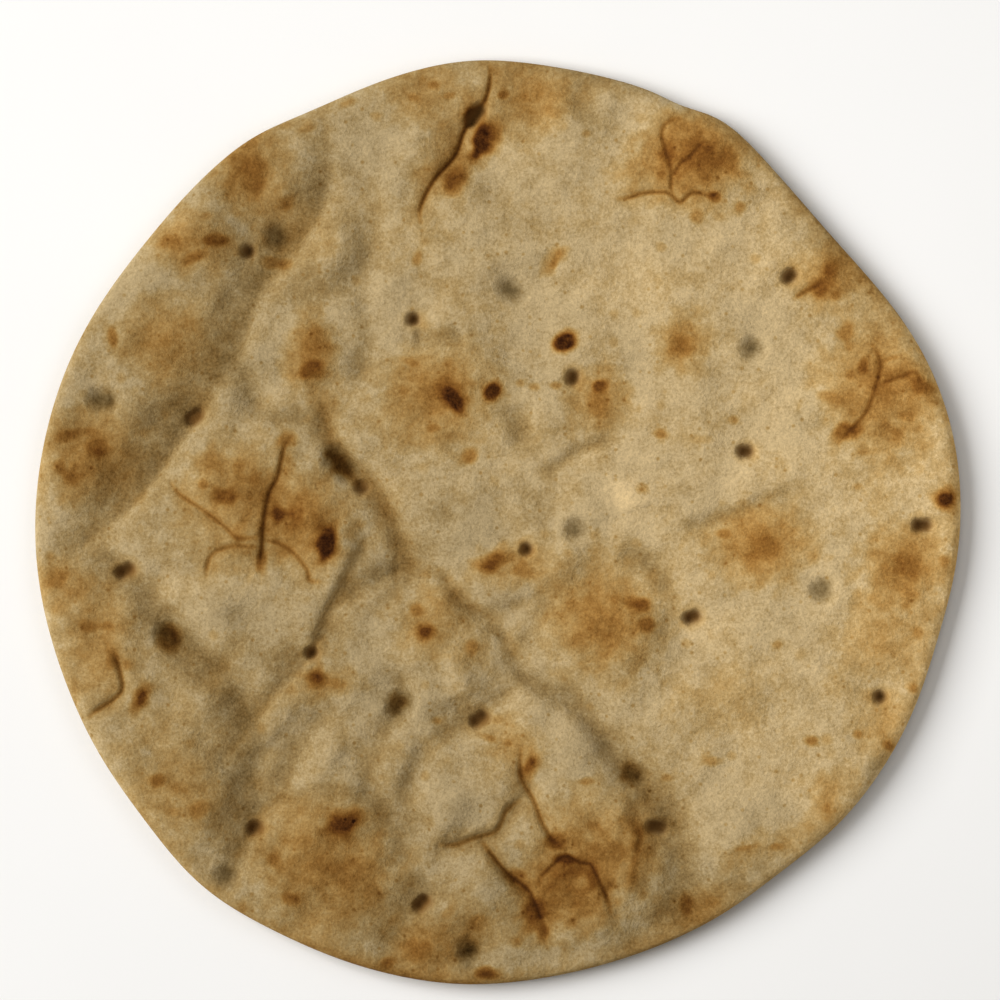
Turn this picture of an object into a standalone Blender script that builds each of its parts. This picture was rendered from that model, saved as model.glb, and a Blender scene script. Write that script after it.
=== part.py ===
"""A pita: one flat, unevenly round bread, pricked in two patterns and puffed between the pricks.

Metres, +Z up. The bread lies flat with its better side up, and the origin is under its middle,
on the surface that it lies on. +X is the photograph's right and +Y its top.
Sizes below are millimetres, and MM turns them into metres where the mesh is made.
"""

import math

import bmesh
import bpy
import numpy as np
from mathutils import Vector
from mathutils.geometry import delaunay_2d_cdt

MM = 0.001

# The whole bread.
BREAD_RADIUS = 84.9
DOUGH_THICKNESS = 5.5
EDGE_HEIGHT = 2.3
CRUST_ROUNDING = 3.8
CRUST_SHOULDER = 3.2
UNDERSIDE_ROUNDING = 4.5
RELIEF_FADE = (0.0, 3.5)
CUT_FADE = (0.0, 2.0)
UNDERSIDE_FADE = (3.0, 12.0)

# Where the rolled outline leaves the circle: direction in degrees, swell, and its spread in degrees.
OUTLINE_SWELLS = (
    (8, 1.3, 13),
    (41, -3.3, 11),
    (61, 1.1, 5),
    (66, -0.8, 2.5),
    (93, 0.8, 6),
    (114, -1.2, 7),
    (122, 0.4, 4),
    (141, -1.6, 10),
    (184, 0.8, 12),
    (211, 0.4, 7),
    (231, 1.6, 7),
    (250, 1.2, 12),
    (266, 0.6, 7),
    (295, -0.8, 12),
    (309, -0.9, 6),
    (345, -0.6, 6),
)

# Narrow holes that a pin went through: a slanting lattice, each hole a little off its place.
PIN_START = (-46.4, 50.3)
PIN_STEP_ALONG = (31.1, -12.8)
PIN_STEP_DOWN = (-9.8, -30.7)
PIN_RADIUS = 1.45
PIN_FLOOR_RADIUS = 0.7
PIN_DEPTH = 3.2
PIN_SHIFTS = {
    (1, -1): (1.3, 7.2),
    (3, -1): (-2.6, 3.1),
    (0, 0): (0.0, 0.0),
    (1, 0): (-0.4, 0.2),
    (2, 0): (-1.9, 2.2),
    (3, 0): (-1.1, 1.3),
    (4, 0): (0.6, 0.4),
    (0, 1): (0.0, 0.0),
    (1, 1): (-0.2, -0.2),
    (2, 1): (-0.7, 1.1),
    (3, 1): (-1.1, 1.3),
    (4, 1): (2.6, -0.7),
    (0, 2): (-3.0, 2.2),
    (1, 2): (0.4, -0.2),
    (2, 2): (0.4, 0.2),
    (3, 2): (2.0, -7.0),
    (1, 3): (-0.2, -2.0),
    (2, 3): (-0.4, -3.1),
}

# Blunt dimples of a second, wider pattern.
DIMPLE_START = (-41.1, 53.3)
DIMPLE_STEP_ALONG = (43.8, -11.3)
DIMPLE_STEP_DOWN = (11.8, -43.7)
DIMPLE_RADIUS = 2.3
DIMPLE_FLOOR_RADIUS = 1.1
DIMPLE_DEPTH = 1.5
DIMPLE_SHIFTS = {
    (0, 0): (0.0, 0.0),
    (1, 0): (-0.2, 1.1),
    (2, 0): (0.4, 1.7),
    (-1, 1): (-0.2, 1.9),
    (0, 1): (-0.2, 1.5),
    (1, 1): (-0.4, 0.6),
    (2, 1): (1.5, 0.7),
    (-1, 2): (0.2, 1.7),
    (0, 2): (-0.7, 0.6),
    (1, 2): (-1.1, -1.1),
    (-1, 3): (-1.3, 1.1),
    (0, 3): (0.2, -1.1),
}
HOLE_SINK = 0.45
HOLE_SINK_RADIUS = 5.5

# The crust stays at least this high, also where a hole lies in a valley.
LEAST_HEIGHT = 2.0

# Puffs: centre, half length, half width, turn in degrees, height, squareness (2 is an ellipse).
PUFFS = (
    ((-47.5, -8.0), 23.0, 21.0, -40, 1.7, 4.5),
    ((-62.5, 41.0), 31.0, 12.5, 62, 0.9, 2.5),
    ((-79.0, 8.0), 11.0, 9.0, 80, 0.5, 2.0),
    ((-66.0, -42.0), 26.0, 11.5, -52, 1.3, 3.0),
    ((-32.0, 53.0), 9.0, 8.5, 0, 0.9, 2.5),
    ((-43.5, 44.0), 6.5, 5.5, 30, 0.5, 2.5),
    ((-45.5, 28.5), 5.5, 5.0, 0, 0.5, 2.5),
    ((-35.0, 32.0), 8.0, 8.0, 40, 0.9, 2.5),
    ((-8.5, 15.0), 25.0, 19.0, -52, 1.3, 3.0),
    ((1.5, 58.5), 20.0, 16.0, 0, 0.5, 2.0),
    ((-14.5, 71.5), 12.5, 9.0, 25, 0.6, 2.0),
    ((35.5, 67.0), 15.0, 11.0, -25, 0.8, 2.5),
    ((37.5, 41.0), 20.0, 17.0, 0, 0.5, 2.0),
    ((72.0, 22.5), 16.0, 13.0, 80, 0.6, 2.0),
    ((26.5, 4.0), 19.0, 11.5, 22, 0.8, 3.0),
    ((47.0, -8.5), 23.0, 12.0, -5, 0.7, 3.0),
    ((72.5, -14.5), 14.0, 14.0, 0, 0.4, 2.0),
    ((56.0, -33.0), 18.0, 15.0, 0, 0.4, 2.0),
    ((4.5, -9.0), 12.0, 6.5, 22, 1.1, 3.0),
    ((18.5, -23.5), 16.5, 12.5, -20, 1.3, 3.2),
    ((31.5, -38.0), 15.5, 10.5, -45, 0.8, 2.5),
    ((-23.0, -10.5), 5.5, 4.0, -40, 0.5, 3.0),
    ((-15.0, -20.5), 9.0, 8.0, 0, 1.1, 2.5),
    ((-13.0, -30.5), 7.0, 6.5, 0, 1.0, 2.5),
    ((-26.0, -20.5), 6.5, 7.5, -40, 0.6, 2.5),
    ((-4.5, -27.0), 6.5, 5.5, -30, 0.6, 2.5),
    ((-41.5, -36.5), 9.0, 3.5, 48, 0.9, 2.5),
    ((-33.0, -42.0), 6.5, 5.0, 50, 1.0, 2.5),
    ((-31.0, -48.0), 5.0, 3.5, 20, 0.5, 2.5),
    ((-19.5, -43.5), 6.0, 6.5, 0, 1.0, 2.5),
    ((-41.5, -48.0), 6.5, 5.5, 0, 0.8, 2.5),
    ((-34.0, -66.0), 20.0, 13.5, -12, 1.2, 2.8),
    ((-5.0, -50.3), 11.8, 9.0, -15, 1.5, 3.2),
    ((3.0, -59.0), 6.0, 6.5, -45, 0.8, 3.0),
    ((14.0, -47.0), 19.0, 8.0, -58, 1.3, 3.0),
    ((23.0, -62.0), 11.0, 6.5, 70, 0.9, 2.8),
    ((14.0, -71.5), 8.5, 8.0, 0, 1.2, 3.2),
    ((-8.5, -73.0), 13.5, 9.5, 20, 1.1, 3.0),
    ((41.5, -60.0), 16.0, 10.5, 35, 0.8, 2.5),
    ((-26.5, -31.0), 6.5, 5.0, 40, 0.5, 2.5),
)

# Soft valleys between the puffs: depth, half width at the start and the end, lean, and the lowest
# line's path. A lean above 0 makes the left side of the path the steeper one, below 0 the right side.
VALLEYS = (
    # Down the left shoulder: a broad slope, steep on its inner side.
    (1.0, (2.2, 2.8), 0.4, (
        (-44.5, 66.0), (-47.5, 57.5), (-49.8, 48.5), (-50.0, 41.0), (-50.4, 35.5), (-51.8, 30.0),
        (-53.7, 24.0),
    )),
    # The square puff's upper left side, and the wide slope outside it.
    (1.5, (2.0, 3.0), 0.6, (
        (-53.7, 23.2), (-56.4, 18.9), (-59.0, 15.2), (-62.3, 10.5), (-65.5, 6.3), (-68.5, 2.8),
        (-71.0, 0.4),
    )),
    # Its lower left side, through a pin hole and a dimple.
    (1.3, (1.6, 3.0), 0.4, (
        (-69.2, -8.2), (-66.0, -13.0), (-62.5, -17.5), (-58.8, -21.5), (-56.4, -25.5),
        (-53.3, -30.2), (-50.3, -34.8),
    )),
    # On down to the lower left rim.
    (0.9, (3.0, 2.0), 0.2, ((-48.5, -37.5), (-47.8, -43.0), (-49.0, -50.5), (-50.5, -58.0), (-51.5, -65.0))),
    # The square puff's upper right side, the deepest of all.
    (1.6, (1.4, 1.5), -0.3, (
        (-33.2, 18.6), (-31.2, 15.4), (-28.2, 12.0), (-25.6, 8.8), (-23.2, 5.0), (-21.2, 1.4),
        (-19.2, -3.0), (-17.2, -7.2),
    )),
    # The small three-cornered shelf at its right corner.
    (0.5, (0.8, 1.2), 0.3, ((-17.0, -7.4), (-20.7, -10.2), (-24.4, -12.2), (-27.6, -14.4))),
    # Its lower right side, through a pin hole, and on to its foot.
    (1.2, (0.6, 1.4), -0.5, (
        (-25.8, -4.0), (-27.2, -8.0), (-29.2, -12.2), (-31.6, -16.4), (-33.6, -20.4), (-34.4, -24.0),
    )),
    (1.0, (1.4, 1.4), -0.6, ((-34.4, -24.0), (-36.8, -28.2), (-40.2, -31.8), (-43.8, -35.8), (-47.6, -40.4))),
    # Across its top.
    (0.5, (1.2, 1.2), 0.0, ((-52.5, 23.0), (-48.0, 20.5), (-43.5, 19.5), (-38.5, 18.5), (-33.5, 17.0))),
    # From the middle down to the right.
    (0.8, (0.8, 1.2), -0.3, (
        (-11.2, -9.2), (-8.6, -12.8), (-5.6, -16.2), (-2.0, -18.6), (1.6, -22.0), (3.0, -26.0),
        (4.8, -29.6),
    )),
    (0.7, (0.9, 1.2), -0.4, (
        (4.8, -29.6), (8.4, -32.0), (12.0, -34.4), (15.4, -38.0), (17.8, -42.0), (20.2, -46.0),
    )),
    # On to the lower rim.
    (0.7, (1.6, 2.2), -0.3, ((20.2, -46.0), (23.0, -50.5), (27.0, -56.0))),
    (0.8, (2.6, 3.2), 0.0, ((27.0, -56.0), (30.5, -62.5), (32.5, -70.0), (33.5, -77.5))),
    # Under the long puff in the middle.
    (0.7, (0.8, 1.0), 0.0, (
        (-9.0, -12.0), (-6.0, -15.8), (-1.5, -17.2), (3.4, -16.0), (7.6, -13.6), (10.6, -10.6),
        (13.4, -7.4),
    )),
    # Two fan folds, right of the middle.
    (0.8, (1.2, 0.9), 0.0, ((10.0, 10.0), (13.0, 12.4), (16.5, 13.8), (22.5, 16.0))),
    (0.7, (1.0, 1.3), 0.0, ((34.0, 0.5), (38.5, 1.0), (42.5, 1.5), (46.0, 4.0), (50.0, 5.5), (56.0, 6.0))),
    # Between the small puffs of the lower left.
    (0.7, (0.9, 1.3), 0.0, (
        (5.0, -30.0), (2.5, -32.0), (0.0, -34.5), (-3.5, -36.8), (-7.5, -38.8), (-11.5, -40.8),
    )),
    (0.6, (1.1, 1.5), 0.0, (
        (-11.5, -40.8), (-14.5, -44.5), (-17.0, -48.5), (-18.5, -52.5), (-18.0, -57.0),
        (-14.5, -60.0), (-10.0, -60.4),
    )),
    (0.5, (0.9, 0.9), 0.0, ((-12.5, -37.0), (-9.5, -35.2), (-6.5, -33.6))),
    (0.7, (1.2, 1.5), 0.0, (
        (-18.5, -35.0), (-21.0, -38.0), (-24.0, -41.0), (-25.5, -45.5), (-26.5, -49.5),
        (-27.5, -52.0),
    )),
    (0.8, (1.6, 1.6), 0.0, ((-33.0, -35.0), (-35.2, -38.0), (-37.2, -41.4))),
    (0.6, (1.6, 1.8), 0.0, ((-33.0, -50.5), (-27.0, -49.5), (-22.5, -50.0), (-18.0, -51.5))),
    # Inside the square puff, low on the left.
    (0.7, (1.5, 1.5), 0.0, ((-47.0, -22.0), (-50.0, -25.0), (-52.6, -28.2))),
    # Through the lowest pin hole.
    (0.9, (1.4, 1.8), 0.5, ((-10.5, -67.4), (-13.6, -70.8), (-17.2, -75.4), (-19.8, -79.4))),
    # Right of the small puffs of the upper left, and between them.
    (0.5, (2.0, 2.2), 0.0, ((-23.5, 56.5), (-26.5, 48.0), (-25.0, 39.0), (-25.5, 30.0))),
    (0.5, (1.8, 1.8), 0.0, ((-38.0, 46.0), (-41.5, 39.0), (-45.5, 32.5), (-47.5, 25.0))),
    (0.4, (1.6, 1.6), 0.0, ((-48.0, 37.5), (-43.0, 37.0), (-38.0, 39.0), (-32.5, 42.5), (-28.0, 45.5))),
    # Above the middle, under a toasted spot.
    (0.5, (1.8, 1.8), 0.0, ((-3.4, 6.5), (-5.0, 1.5), (-7.8, -3.5))),
    # Beside the fold at the top.
    (0.7, (1.4, 2.0), 0.5, ((-2.6, 77.6), (-6.2, 72.0), (-8.2, 67.4), (-11.8, 62.9), (-14.2, 58.2))),
)

# Sharp creases, where a baked skin buckled: depth, half width, and path.
CREASES = (
    # From the top edge through a pin hole.
    (1.3, 0.75, (
        (-1.3, 84.9), (-1.3, 81.8), (-2.2, 78.1), (-4.3, 75.5), (-6.3, 72.0), (-6.8, 70.3),
        (-8.0, 67.5), (-11.8, 63.1), (-14.1, 58.5), (-14.2, 55.5),
    )),
    # The hooked group of the upper right.
    (0.8, 0.60, (
        (33.9, 74.7), (31.6, 74.0), (30.5, 72.2), (30.9, 69.6), (32.2, 65.1), (32.2, 61.4),
        (32.9, 59.6),
    )),
    (0.7, 0.60, (
        (22.4, 59.8), (24.6, 60.1), (27.4, 60.9), (31.6, 60.9), (33.9, 59.2), (36.3, 61.0),
        (40.0, 60.1),
    )),
    (0.6, 0.50, ((32.2, 63.3), (34.0, 66.4), (35.7, 67.5), (37.0, 69.2), (38.5, 70.3))),
    # At the right rim.
    (0.6, 0.50, ((55.1, 41.4), (56.6, 42.5), (58.3, 43.3), (60.1, 44.0))),
    (0.9, 0.60, (
        (69.6, 32.7), (71.0, 29.6), (70.3, 25.9), (69.2, 22.6), (67.9, 19.8), (64.9, 16.5),
        (63.1, 14.6),
    )),
    (0.7, 0.50, ((71.0, 25.3), (73.3, 26.5), (75.1, 27.0), (77.3, 27.8), (78.6, 25.3))),
    (0.5, 0.50, ((71.0, 29.6), (72.7, 30.2), (74.6, 30.7))),
    # The cross on the square puff.
    (1.0, 0.65, (
        (-38.3, 15.7), (-39.4, 13.9), (-40.0, 11.1), (-40.7, 8.1), (-42.0, 5.9), (-42.7, 3.1),
        (-43.3, -1.5), (-43.5, -4.8), (-44.2, -8.9),
    )),
    (0.9, 0.60, ((-60.3, 7.2), (-58.6, 5.0), (-54.9, 2.6), (-50.3, -0.9), (-47.7, -3.0), (-43.5, -2.6))),
    (0.7, 0.50, ((-43.5, -4.8), (-48.5, -4.4), (-51.8, -5.4), (-53.3, -7.0), (-53.8, -9.8))),
    (0.7, 0.50, (
        (-43.5, -3.3), (-40.5, -3.9), (-37.9, -5.5), (-35.1, -8.9), (-34.8, -10.7), (-32.7, -11.1),
    )),
    # At the lower left rim.
    (0.9, 0.65, (
        (-70.7, -24.6), (-69.4, -28.9), (-69.4, -31.1), (-71.0, -32.9), (-74.4, -35.1),
        (-75.7, -36.3),
    )),
    # The folds round the small puffs at the bottom.
    (1.2, 0.70, (
        (4.4, -42.2), (4.3, -45.0), (4.6, -47.7), (6.7, -51.4), (8.3, -55.5), (10.4, -59.0),
        (12.6, -60.7),
    )),
    (1.1, 0.65, (
        (7.6, -67.0), (8.3, -65.5), (9.8, -64.0), (12.6, -61.8), (15.4, -63.1), (17.2, -63.3),
        (18.7, -65.9), (20.4, -69.9), (21.1, -72.2),
    )),
    (1.1, 0.70, (
        (-10.5, -59.8), (-7.8, -59.9), (-4.1, -58.5), (-0.4, -57.4), (0.9, -55.5), (1.7, -53.6),
        (4.3, -51.4),
    )),
    (1.2, 0.70, (
        (-2.8, -59.2), (0.0, -62.9), (2.2, -65.3), (5.7, -68.1), (6.7, -69.9), (8.1, -73.3),
        (8.9, -75.5),
    )),
    (0.6, 0.50, ((25.5, -56.2), (26.5, -57.9), (26.1, -59.4), (25.9, -61.6))),
)

# Slow unevenness of the dough: wavelength, direction in degrees, phase in degrees, height.
CRUST_WAVES = ((41, 20, 40, 0.16), (29, 115, 200, 0.13), (19, 70, 310, 0.09), (15, 160, 90, 0.07))
# Small soft unevenness all over: shortest and longest wave, how many, how steep, and its own seed.
LUMP_LENGTHS = (5.0, 28.0)
LUMP_WAVES = 90
LUMP_SLOPE = 0.16
LUMP_SEED = 4
LUMP_CALM = 0.4
LUMP_CALM_REACH = (-20.0, 45.0)

# Shallow hollows underneath: waves as above, and the level that they must pass to leave the floor.
UNDERSIDE_WAVES = ((46, 35, 200, 0.30), (33, 100, 250, 0.24), (23, 150, 130, 0.16))
UNDERSIDE_FLAT = 0.12

# A puff's side: a larger value makes it steeper.
PUFF_STEEPNESS = 1.4

# A valley's section: the share of its depth in the narrow trough, and how much wider its soft sink is.
TROUGH_SHARE = 0.65
SINK_WIDTH = 3.0

# Grooves run out over this share of their length at each end, to these shares of their depth.
RUN_OUT = 0.15
VALLEY_END_DEPTH = 0.4
CREASE_END_DEPTH = 0.3

# How soon a leaning valley changes from its one width to its other, across its lowest line.
LEAN_TURN = 0.25

# How finely each face is divided.
RIM_POINTS = 150
CRUST_INSETS = (0.35, 1.4, 3.2)
UNDERSIDE_INSETS = (0.6, 2.2)
CRUST_PITCH = 2.9
UNDERSIDE_PITCH = 6.0
CREASE_PITCH = 1.6
VALLEY_PITCH = 2.4
LEAST_GAP = 0.45
VALLEY_GAP = 1.1
RIM_CLEARANCE = 0.2

# The baked dough's plain colour and finish.
DOUGH_COLOUR = (0.47, 0.33, 0.15, 1.0)
DOUGH_ROUGHNESS = 0.9


def smooth_step(low, high, value):
    """0 below low, 1 above high, and a soft rise between them."""
    t = np.clip((value - low) / (high - low), 0.0, 1.0)
    return t * t * (3.0 - 2.0 * t)


def outline_radius(angle):
    """The outline's distance from the middle in a direction given in radians."""
    degrees = np.degrees(angle)
    radius = np.full_like(degrees, BREAD_RADIUS)
    for direction, swell, spread in OUTLINE_SWELLS:
        off = (degrees - direction + 180.0) % 360.0 - 180.0
        radius += swell * np.exp(-0.5 * (off / spread) ** 2)
    return radius


def edge_distance(x, y):
    """How far inside the outline a point lies."""
    return outline_radius(np.arctan2(y, x)) - np.hypot(x, y)


def smooth_path(path, pitch):
    """Points about a pitch apart on a smooth curve (Catmull-Rom) through a path's own points."""
    knots = [np.array(p) for p in (path[0], *path, path[-1])]
    points = []
    for before, start, end, after in zip(knots, knots[1:], knots[2:], knots[3:]):
        steps = max(1, round(float(np.hypot(*(end - start))) / pitch))
        for t in np.arange(steps) / steps:
            bend = (2 * before - 5 * start + 4 * end - after) * t**2
            twist = (3 * start - before - 3 * end + after) * t**3
            points.append(0.5 * (2 * start + (end - before) * t + bend + twist))
    return np.array([*points, knots[-1]])


def path_distance(x, y, points):
    """A point's distance to a path, how far along it (0 to 1) the nearest place is, and the side."""
    nearest = np.full_like(x, np.inf)
    along = np.zeros_like(x)
    side = np.ones_like(x)
    for i, (start, end) in enumerate(zip(points, points[1:])):
        run = end - start
        off_x, off_y = x - start[0], y - start[1]
        t = np.clip((off_x * run[0] + off_y * run[1]) / (run @ run), 0.0, 1.0)
        distance = np.hypot(off_x - t * run[0], off_y - t * run[1])
        closer = distance < nearest
        nearest = np.where(closer, distance, nearest)
        along = np.where(closer, (i + t) / (len(points) - 1), along)
        side = np.where(closer, (run[0] * off_y - run[1] * off_x) / np.hypot(*run), side)
    return nearest, along, side


def lattice(start, along, down, shifts):
    """The holes of one pricked pattern, as points."""
    return [
        (start[0] + i * along[0] + j * down[0] + dx, start[1] + i * along[1] + j * down[1] + dy)
        for (i, j), (dx, dy) in shifts.items()
    ]


PINS = lattice(PIN_START, PIN_STEP_ALONG, PIN_STEP_DOWN, PIN_SHIFTS)
DIMPLES = lattice(DIMPLE_START, DIMPLE_STEP_ALONG, DIMPLE_STEP_DOWN, DIMPLE_SHIFTS)


def wave(x, y, waves):
    """A sum of plane waves."""
    total = np.zeros_like(x)
    for length, direction, phase, height in waves:
        turn = math.radians(direction)
        run = x * math.cos(turn) + y * math.sin(turn)
        total += height * np.sin(2 * math.pi * run / length + math.radians(phase))
    return total


def lumps(x, y):
    """Small soft unevenness: weak waves in chance directions, all equally steep, calmer on the right."""
    draw = np.random.default_rng(LUMP_SEED)
    short, long = LUMP_LENGTHS
    total = np.zeros_like(x)
    for length_share, turn_share, start_share in draw.random((LUMP_WAVES, 3)):
        k = 2 * math.pi / (short * (long / short) ** length_share)
        turn = 2 * math.pi * turn_share
        run = x * math.cos(turn) + y * math.sin(turn)
        total += np.sin(k * run + 2 * math.pi * start_share) / k
    calm = 1 - LUMP_CALM * smooth_step(*LUMP_CALM_REACH, x)
    return calm * LUMP_SLOPE * math.sqrt(2.0 / LUMP_WAVES) * total


def puff_relief(x, y):
    """Rounded pillows that the steam raised."""
    total = np.zeros_like(x)
    for (cx, cy), half_length, half_width, turn, height, squareness in PUFFS:
        c, s = math.cos(math.radians(turn)), math.sin(math.radians(turn))
        u = np.abs((x - cx) * c + (y - cy) * s) / half_length
        v = np.abs((y - cy) * c - (x - cx) * s) / half_width
        out = np.clip((u**squareness + v**squareness) ** (1 / squareness), 0.0, 1.0)
        total += height * (1 - out ** (PUFF_STEEPNESS * squareness)) ** 2
    return total


def depth_share(along, end_depth):
    """How much of its depth a groove has at a place 0 to 1 along it: less towards both ends."""
    fade = smooth_step(0.0, RUN_OUT, along) * smooth_step(0.0, RUN_OUT, 1 - along)
    return end_depth + (1 - end_depth) * fade


def valley_relief(x, y):
    """Soft troughs, wider or narrower along their way, with a wide shallow sink on both sides."""
    total = np.zeros_like(x)
    for depth, (first, last), lean, path in VALLEYS:
        distance, along, side = path_distance(x, y, smooth_path(path, VALLEY_PITCH))
        width = (first + (last - first) * along) * (1 - lean * np.tanh(side / LEAN_TURN))
        across = distance / width
        trough = TROUGH_SHARE * np.exp(-(across**2))
        trough += (1 - TROUGH_SHARE) * np.exp(-((across / SINK_WIDTH) ** 2))
        total -= depth * depth_share(along, VALLEY_END_DEPTH) * trough
    return total


def crease_relief(x, y):
    """Sharp V-shaped folds of the skin."""
    total = np.zeros_like(x)
    for depth, half_width, path in CREASES:
        distance, along, _ = path_distance(x, y, smooth_path(path, CREASE_PITCH))
        section = np.clip(1 - distance / half_width, 0.0, 1.0)
        total -= depth * depth_share(along, CREASE_END_DEPTH) * section
    return total


def hole_relief(x, y):
    """Pricked holes, each in a shallow sunk ring of its own."""
    sink = np.zeros_like(x)
    cut = np.zeros_like(x)
    for holes, radius, floor_radius, depth in (
        (PINS, PIN_RADIUS, PIN_FLOOR_RADIUS, PIN_DEPTH),
        (DIMPLES, DIMPLE_RADIUS, DIMPLE_FLOOR_RADIUS, DIMPLE_DEPTH),
    ):
        for cx, cy in holes:
            distance = np.hypot(x - cx, y - cy)
            sink -= HOLE_SINK * np.exp(-((distance / HOLE_SINK_RADIUS) ** 2))
            cut -= depth * (1 - smooth_step(floor_radius, radius, distance))
    return sink, cut


def crust_height(x, y):
    """The upper face's height above the surface that the bread lies on."""
    inset = edge_distance(x, y)
    rounding = np.clip(1 - inset / CRUST_ROUNDING, 0.0, 1.0)
    full = (1 - rounding**CRUST_SHOULDER) ** (1 / CRUST_SHOULDER)
    shell = EDGE_HEIGHT + (DOUGH_THICKNESS - EDGE_HEIGHT) * full
    sink, cut = hole_relief(x, y)
    soft = wave(x, y, CRUST_WAVES) + puff_relief(x, y) + lumps(x, y) + valley_relief(x, y) + sink
    sharp = crease_relief(x, y) + cut
    crust = shell + soft * smooth_step(*RELIEF_FADE, inset) + sharp * smooth_step(*CUT_FADE, inset)
    return np.maximum(crust, LEAST_HEIGHT)


def underside_height(x, y):
    """The lower face: flat where it rests, with shallow hollows that the oven floor didn't touch."""
    inset = edge_distance(x, y)
    rounding = np.clip(1 - inset / UNDERSIDE_ROUNDING, 0.0, 1.0)
    hollow = np.clip(wave(x, y, UNDERSIDE_WAVES) - UNDERSIDE_FLAT, 0.0, None)
    return EDGE_HEIGHT * (1 - np.sqrt(1 - rounding**2)) + hollow * smooth_step(*UNDERSIDE_FADE, inset)


def ring(inset):
    """Points round the outline, an inset inside it."""
    angles = np.arange(RIM_POINTS) * 2 * math.pi / RIM_POINTS
    radii = outline_radius(angles) - inset
    return np.column_stack((radii * np.cos(angles), radii * np.sin(angles)))


def circle(centre, radius, count):
    """Points round a hole."""
    angles = np.arange(count) * 2 * math.pi / count
    return np.column_stack((centre[0] + radius * np.cos(angles), centre[1] + radius * np.sin(angles)))


def triangular_lattice(pitch, least_inset):
    """A triangular lattice over the whole bread, kept inside an inset."""
    count = int(BREAD_RADIUS // pitch) + 2
    columns, rows = np.meshgrid(np.arange(-count, count + 1), np.arange(-2 * count, 2 * count + 1))
    x = ((columns + 0.5 * (rows % 2)) * pitch).ravel()
    y = (rows * pitch * math.sqrt(3) / 2).ravel()
    inside = edge_distance(x, y) > least_inset
    return np.column_stack((x[inside], y[inside]))


def add_clear(points, extra, gap):
    """Adds each further point that keeps a gap to all the points before it."""
    for point in extra:
        if np.min(np.hypot(*(points - point).T)) > gap:
            points = np.vstack((points, point))
    return points


def lip_points(path, pitch, offset):
    """Points on a path, and on both sides of it at an offset."""
    points = smooth_path(path, pitch)
    run = np.gradient(points, axis=0)
    side = np.column_stack((-run[:, 1], run[:, 0])) / np.hypot(*run.T)[:, None]
    return points, np.vstack((points + side * offset, points - side * offset))


def crust_points():
    """Where the upper face has its corners, besides the outline: fine at what is sharp, wide elsewhere."""
    points = np.vstack([ring(inset) for inset in CRUST_INSETS])
    for centre in PINS:
        points = np.vstack((points, [centre], circle(centre, PIN_FLOOR_RADIUS, 6)))
        points = add_clear(points, circle(centre, PIN_RADIUS, 9), LEAST_GAP)
    for centre in DIMPLES:
        points = np.vstack((points, [centre], circle(centre, DIMPLE_FLOOR_RADIUS, 6)))
        points = add_clear(points, circle(centre, DIMPLE_RADIUS, 10), LEAST_GAP)
    creases = [lip_points(path, CREASE_PITCH, half_width) for _, half_width, path in CREASES]
    valleys = [lip_points(path, VALLEY_PITCH, first + last) for _, (first, last), _, path in VALLEYS]
    for middles, _ in creases:
        points = add_clear(points, middles, LEAST_GAP)
    for _, lips in creases:
        points = add_clear(points, lips, LEAST_GAP)
    for middles, _ in valleys:
        points = add_clear(points, middles, VALLEY_GAP)
    for _, lips in valleys:
        points = add_clear(points, lips, VALLEY_GAP)
    fill = triangular_lattice(CRUST_PITCH, CRUST_INSETS[-1] + 1.2)
    return keep_inside(add_clear(points, fill, 0.55 * CRUST_PITCH))


def underside_points():
    """Where the lower face has its corners, besides the outline."""
    points = np.vstack([ring(inset) for inset in UNDERSIDE_INSETS])
    fill = triangular_lattice(UNDERSIDE_PITCH, UNDERSIDE_INSETS[-1] + 2.0)
    return keep_inside(add_clear(points, fill, 0.5 * UNDERSIDE_PITCH))


def keep_inside(points):
    """Leaves out what would lie on the outline itself."""
    return points[edge_distance(points[:, 0], points[:, 1]) > RIM_CLEARANCE]


def add_face(bm, outline, inner, height, upward):
    """Triangles over the outline and its inner points. The outline's own corners are shared."""
    rim = [Vector((v.co.x, v.co.y)) for v in outline]
    edges = [(i, (i + 1) % len(rim)) for i in range(len(rim))]
    flat = rim + [Vector(point) for point in inner]
    corners, _, faces, origins, _, _ = delaunay_2d_cdt(flat, edges, [], 1, 1e-5)
    heights = height(inner[:, 0], inner[:, 1])
    made = []
    for corner, origin in zip(corners, origins):
        if origin[0] < len(rim):
            made.append(outline[origin[0]])
        else:
            made.append(bm.verts.new((corner.x, corner.y, float(heights[origin[0] - len(rim)]))))
    for face in faces:
        order = face if upward else face[::-1]
        bm.faces.new([made[i] for i in order])


def bread_mesh():
    """The whole bread as one closed surface, its box centred over the origin."""
    bm = bmesh.new()
    outline = [bm.verts.new((x, y, EDGE_HEIGHT)) for x, y in ring(0.0)]
    add_face(bm, outline, crust_points(), crust_height, True)
    add_face(bm, outline, underside_points(), underside_height, False)
    corners = np.array([v.co for v in bm.verts])
    middle = (corners.min(axis=0) + corners.max(axis=0)) / 2
    for v in bm.verts:
        v.co = Vector((v.co.x - middle[0], v.co.y - middle[1], v.co.z)) * MM
    bmesh.ops.triangulate(bm, faces=bm.faces)
    mesh = bpy.data.meshes.new("pita")
    bm.to_mesh(mesh)
    bm.free()
    mesh.shade_smooth()
    return mesh


def dough_material():
    """Pale baked dough, matt."""
    material = bpy.data.materials.new("baked dough")
    material.use_nodes = True
    shader = material.node_tree.nodes["Principled BSDF"]
    shader.inputs["Base Color"].default_value = DOUGH_COLOUR
    shader.inputs["Roughness"].default_value = DOUGH_ROUGHNESS
    shader.inputs["Metallic"].default_value = 0.0
    return material


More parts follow.
